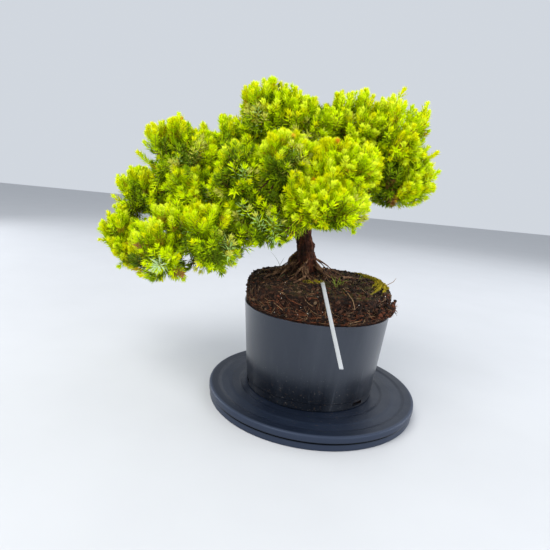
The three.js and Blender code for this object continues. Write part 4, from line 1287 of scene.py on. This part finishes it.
def keepInside(mass, root, way, length, rise):
    # shortens a shoot until its tip stays within the mass
    for _ in range(6):
        if depthIn(mass, root + (way + up * rise) * length) <= 1.02:
            break
        length *= 0.88
    return length


def pointsAlong(path, along, places):
    return np.stack([np.interp(places, along, path[:, k]) for k in range(3)], -1)


def pickColours(random, share, palette):
    # most needles of a shoot share one colour at each level, and a few differ
    colours = np.zeros(len(share), int)
    for low, names, chances in palettes[palette]:
        chosen = np.flatnonzero(share >= low)
        table = np.array([colourIndex[name] for name in names])
        main = random.choice(len(names), p=chances)
        drawn = random.choice(len(names), len(chosen), p=chances)
        colours[chosen] = table[np.where(random.uniform(size=len(chosen)) < foliage["alike"], main, drawn)]
    return colours


def needlesAlong(heap, random, path, bare, scale, palette):
    # whorls of three, spread wide low down and folding together over the rounded tip
    along = np.concatenate([[0], np.cumsum(np.linalg.norm(np.diff(path, axis=0), axis=1))])
    length = along[-1]
    habit = habits["loose" if palette in loosePalettes else "dense"]
    tipCount, each = habit["tipNeedles"], foliage["whorl"]
    whorls = max(4, int(length * (1 - bare) / habit["every"]))
    share = np.repeat(bare + (1 - bare) * (np.arange(whorls) + 0.5) / whorls, each)
    share = np.concatenate([share, np.full(tipCount, 0.985)])
    count = len(share)
    base = pointsAlong(path, along, share * length)
    way = pointsAlong(path, along, np.minimum(share + 0.04, 1) * length)
    way = way - pointsAlong(path, along, (share - 0.06) * length)
    way /= np.linalg.norm(way, axis=1, keepdims=True)
    side = np.cross(way, unit(random.normal(size=3)))
    side /= np.linalg.norm(side, axis=1, keepdims=True)
    other = np.cross(way, side)
    order = np.arange(count)
    turn = (order % each) * 2 * math.pi / each + (order // each) * math.pi / each
    turn = turn + random.normal(0, 0.2, count)
    spreading = np.clip((1 - share) * length / habit["tipLength"], 0, 1)
    folded, wide = habit["lean"]
    lean = np.radians(folded + (wide - folded) * spreading + random.normal(0, 6, count))
    lean[-tipCount:] = np.radians(np.linspace(3, habit["tipLean"], tipCount) + random.normal(0, 5, tipCount))
    turn[-tipCount:] = np.arange(tipCount) * gold
    outward = side * np.cos(turn)[:, None] + other * np.sin(turn)[:, None]
    aim = way * np.cos(lean)[:, None] + outward * np.sin(lean)[:, None]
    size = habit["needle"] * scale * random.uniform(0.82, 1.12, count) * (0.7 + 0.3 * spreading)
    flat = np.cross(aim, outward + way * 0.01)
    flat /= np.linalg.norm(flat, axis=1, keepdims=True)
    lift = np.cross(flat, aim) * habit["width"] * foliage["needleFold"]
    flat *= habit["width"]
    root = base + outward * 0.25
    middle = root + aim * size[:, None] * foliage["needleMiddle"] + lift
    points = np.stack([root, middle - flat, middle + flat, root + aim * size[:, None]], 1)
    faces = np.arange(count)[:, None, None] * 4 + np.array([[0, 3, 1], [0, 2, 3]])
    colours = pickColours(random, share, palette)
    heap.add(points.reshape(-1, 3), faces.reshape(-1, 3), np.repeat(colours, 2))


def growSpray(needles, twigs, random, mass, root, way, length, rise, palette, sideShoots, scale=1.0):
    # a fan: one leading shoot, and side shoots that leave it to the left and right in turn
    shortest, shortestSide = foliage["shortest"]
    if mass:
        length = keepInside(mass, root, way, length, rise)
    if length < shortest:
        return
    path = bentPath(root, way, length, rise)
    if cutOff(path):
        return
    # painted shade: a spray in one of the hollows gets dark needles
    if near(hollows, path[2]):
        palette = "hollowShade"
    needlesAlong(needles, random, path, 0.22, scale, palette)
    twigs.tube(path, np.linspace(*foliage["shootRadius"], len(path)), 1)
    facing = unit(path[2] - foliage["heart"])
    across = unit(np.cross(way, facing) + random.normal(size=3) * 0.3)  # the fan lies flat on the crown
    for number in range(sideShoots):
        share = 0.08 + 0.54 * number / max(1, sideShoots - 1) + random.uniform(-0.04, 0.04)
        start = pointsAlong(path, np.linspace(0, 1, len(path)), share)
        hand = 1 if number % 2 else -1
        angle = math.radians(random.uniform(*foliage["sideLean"]))
        out = unit(way * math.cos(angle) + across * hand * math.sin(angle)
                   + np.cross(way, across) * random.normal(0, 0.3))
        own = length * (0.98 - share) * random.uniform(0.72, 1.0) + 4
        if mass:
            own = keepInside(mass, start, out, own, rise + 0.22)
        if own < shortestSide:
            continue
        branch = bentPath(start, out, own, rise + 0.22)
        if cutOff(branch):
            continue
        kind = "orange" if palette in ("bright", "yellow") and random.uniform() < 0.011 else palette
        needlesAlong(needles, random, branch, 0.1, scale * random.uniform(0.86, 1.0), kind)
        branch = branch[::2]
        twigs.tube(branch, np.linspace(*foliage["sideRadius"], len(branch)), 1)


def pickPalette(random, mass, way, outer):
    # painted light and shade: brighter needles on top and darker ones underneath and inside; the lowest
    # masses catch light all round, so they get bright needles inside too
    name, draw = mass["name"], random.uniform()
    lit = ("low_left_outer", "far_left_low", "low_right", "right_front", "right_tip", "upper_right")
    level = way[2] + (0.3 if name in lit else 0)
    if not outer:
        inner = ("bright", 0.55) if name in lit else ("shady", 0.6)
        return dealt(draw, (inner, ("middle", 1)))
    if name in ("middle_low", "low_left_inner") and level < 0.6:
        return dealt(draw, (("cool", 0.48), ("pale", 0.6), ("silver", 0.61), ("middle", 0.76), ("shady", 1)))
    if name in ("middle_left", "mid_left", "back_low") and level < 0.5:
        return dealt(draw, (("middle", 0.4), ("pale", 0.6), ("cool", 0.7), ("bright", 0.85), ("shady", 1)))
    if level > 0.2:
        return dealt(draw, (("middle", 0.08), ("bright", 0.78), ("yellow", 1)))
    if level > -0.15:
        return dealt(draw, (("bright", 0.5), ("yellow", 0.6), ("middle", 0.85), ("pale", 1)))
    if level > -0.5:
        return dealt(draw, (("middle", 0.45), ("cool", 0.55), ("pale", 0.8), ("shady", 1)))
    return dealt(draw, (("shady", 0.4), ("middle", 0.8), ("cool", 0.97), ("dead", 1)))


def dealt(draw, shares):
    # the first name whose running share the drawn number doesn't pass
    return next(name for name, share in shares if draw <= share)


def coverTwig(needles, twigs, random, path):
    # a carrying twig, which has a few shaded needles of its own
    path = np.array(path)
    twigs.tube(path, [0.85, 0.75, 0.62], 0, 4)
    if np.linalg.norm(path[-1] - path[0]) > 9:
        needlesAlong(needles, random, path, 0.15, 0.9, "middle" if random.uniform() < 0.4 else "shady")


def carrySpray(needles, twigs, random, anchors, root, sway):
    # a thin twig to a spray's root from the nearest thick one
    anchor = anchors[np.argmin(np.linalg.norm(anchors - root, axis=1))]
    coverTwig(needles, twigs, random, [anchor, (anchor + root) / 2 + random.normal(size=3) * sway, root])


def placeSpray(needles, twigs, random, mass, anchors, tip, rising, length, palette, sideShoots, scale=1.0):
    # a spray with its tip at a given place, carried by a thin twig from the nearest thick one
    centre = np.array(mass["at"], float)
    rise = 0.14 if rising[2] < 0.75 else 0.02
    root = tip - (rising + up * rise) * length
    deep = depthIn(mass, root)
    if deep > foliage["keep"]:
        root = centre + (root - centre) * foliage["keep"] / deep
    away = tip - up * rise * length - root
    if np.linalg.norm(away) < length * 0.6:
        root = tip + unit(centre - tip) * length * 0.8
        away = tip - root
        rise = 0.0
    carrySpray(needles, twigs, random, anchors, root, 1.2)
    length = np.linalg.norm(away)
    growSpray(needles, twigs, random, mass, root, unit(away), length, rise, palette, sideShoots, scale)


def fillSeam(needles, twigs, random, mass, other, normal, offset, anchors):
    # sprays that stand in the valley between two neighbouring masses
    middle = np.array(mass["at"], float) + normal * offset
    side = unit(np.cross(normal, up + np.array([0.01, 0, 0])))
    top = np.cross(side, normal)
    for number in range(foliage["seamSprays"]):
        angle = 2 * math.pi * (number + random.uniform(-0.2, 0.2)) / foliage["seamSprays"]
        way = side * math.cos(angle) + top * math.sin(angle)
        if way[2] < -0.55:
            continue
        steps = np.arange(0, 64, 2.0)[:, None]
        inside = np.minimum(depthIn(mass, middle + way * steps), depthIn(other, middle + way * steps)) <= 1
        reach = steps[inside].max() if inside.any() else 6
        tip = middle + way * (reach + foliage["seamRise"])
        rivals = [rival for rival in masses if rival is not mass and rival is not other]
        if min(depthIn(rival, tip) for rival in rivals) < 0.9:
            continue
        rising = unit(way * 0.7 + up * 0.6)
        length = foliage["spray"] * random.uniform(0.9, 1.15)
        root = tip - (rising + up * 0.1) * length
        carrySpray(needles, twigs, random, anchors, root, 1.0)
        palette = "bright" if way[2] > 0.2 and random.uniform() < 0.6 else "middle"
        growSpray(needles, twigs, random, None, root, rising, length, 0.1, palette, 4)


def growMass(mass, limbs, needles, twigs):
    random = np.random.RandomState(abs(mass["at"][0] * 13 + mass["at"][1] * 5 + mass["at"][2]) + 5000)
    space = spaceOf(mass)
    centre = space["centre"]
    carrier = limbs[mass["name"] if "grows" in mass else "trunk"]
    start = carrier["curve"].at(1)
    fork = start + (centre - start) * 0.9
    radius = carrier["radius"](1) * 0.95
    thick, thin = foliage["twigRadius"]
    twigs.tube([start, (start + fork) / 2, fork], [radius, radius * 0.9, thick * 1.3], 0, 7)
    anchors = []
    for way in spread(foliage["twigs"]):
        _, far = reachAlong(space, way)
        end = centre + way * far * foliage["twigReach"]
        middle = fork + (end - fork) * 0.55 + random.normal(size=3) * 1.6
        twigs.tube([fork, middle, end], [thick, thin, thin * 0.8], 0, 5)
        anchors.append(end)
    anchors = np.array(anchors + [fork])

    total = foliage["sprays"] + foliage["innerSprays"]
    for number, way in enumerate(spread(total)):
        outer = number % (total // foliage["innerSprays"]) != 0
        way = unit(way + random.normal(size=3) * 0.12)
        outline, limit = reachAlong(space, way)
        far = min(outline, limit + foliage["crossing"])  # neighbours grow a little into each other
        far *= random.uniform(0.92, 1.02) if outer else random.uniform(0.5, 0.72)
        tip = centre + way * far
        seen = outer and limit > outline * 0.6
        away = unit(tip - foliage["heart"])
        if way[2] > -0.4:
            spilling = mass["name"] in foliage["spilling"]
            out = way * (0.42, 0.25, 0.42) + away * (0.3, 0.2, 0.3) if spilling else way * 0.28 + away * 0.2
            rising = unit(out + up * (0.75 if spilling else 1))
        else:
            rising = unit(way * (0.8, 0.8, 0.45) + away * 0.2)
        length = foliage["spray"] * random.uniform(0.85, 1.15) * (1 if outer else 0.85)
        palette = pickPalette(random, mass, way, seen)
        sides = foliage["sideShoots"] if seen else 3
        scale = 1.1 if palette == "cool" else 1.0
        placeSpray(needles, twigs, random, mass, anchors, tip, rising, length, palette, sides, scale)

    for other, normal, offset in zip(space["beside"], space["normals"], space["offsets"]):
        if masses.index(other) > masses.index(mass):
            fillSeam(needles, twigs, random, mass, other, normal, offset, anchors)

    if "grows" in mass:
        first, last = foliage["boughShare"]
        length = carrier["curve"].length
        count = int(length * (last - first) / foliage["boughSprayEvery"])
        shares = np.linspace(first, last, count + 1)
        roots, ways = carrier["curve"].at(shares), carrier["curve"].tangents(shares)
        for number, (root, along) in enumerate(zip(roots, ways)):
            side = unit(np.cross(along, up))
            turn = number * gold
            about = side * math.cos(turn) + np.cross(side, along) * math.sin(turn)
            way = unit(about + up * 0.7 + along * 0.4)
            palette = "middle" if random.uniform() < 0.6 else "shady"
            length = foliage["boughSpray"] * random.uniform(0.8, 1.15)
            growSpray(needles, twigs, random, None, root, way, length, 0.1, palette, 3)


groups = [
    ("Crest", ("crest_middle", "crest_right", "crest_shoulder")),
    ("Right", ("upper_right", "right_tip", "right_low")),
    ("Front", ("right_front", "low_right", "middle_front")),
    ("Middle", ("middle_left", "middle_low", "mid_left")),
    ("Left", ("upper_left", "far_left", "far_left_low")),
    ("Low", ("low_left_inner", "low_left_outer", "back_low")),
    ("Back", ("back_left", "back_middle", "back_right")),
]


def growStrays(needles, twigs):
    random = np.random.RandomState(17)
    for root, tip, palette, scale in strays:
        root, tip = np.array(root, float), np.array(tip, float)
        rise = 0.12
        length = np.linalg.norm(tip - root)
        path = bentPath(root, (tip - root) / length - up * rise, length, rise)
        home = min((np.array(mass["at"], float) for mass in masses), key=lambda at: np.linalg.norm(at - root))
        coverTwig(needles, twigs, random, [home, (home + root) / 2 + up * 2, root])
        needlesAlong(needles, random, path, 0.08, scale, palette)
        twigs.tube(path, np.linspace(0.6, 0.3, len(path)), 1)
    hair = [(-96, -40, 176), (-95.5, -40, 170), (-96.5, -40, 163), (-97, -41, 158)]
    twigs.tube(hair, [0.35, 0.3, 0.3, 0.2], 2)


def makeFoliage(limbs):
    paints = []
    for name, colour in needleColours.items():
        paints.append(Paint(f"needle{name[0].upper()}{name[1:]}", 0.6, 0.1).finish(tint(*colour)))
    twigPaints = [plainPaint("twigBrown", tint(104, 64, 42), 0.85),
                  plainPaint("shootStem", tint(150, 128, 46)), plainPaint("dryHair", tint(196, 186, 166))]
    twigs = Heap()
    for label, names in groups:
        needles = Heap()
        for mass in masses:
            if mass["name"] in names:
                growMass(mass, limbs, needles, twigs)
        if label == "Left":
            growStrays(needles, twigs)
        needles.piece(f"needles{label}", paints, "needles", [f"foliage_{name}" for name in names])
    twigs.piece("twigs", twigPaints, "bark", smooth=True)
    print("foliage made")


makeCamera()
makeRoom()
makeStand()
makePot()
makeSoil()
makeSoilDetail()
makeMoss()
makeMarker()
allLimbs = layLimbs()
makeBark(allLimbs)
makeFoliage(allLimbs)
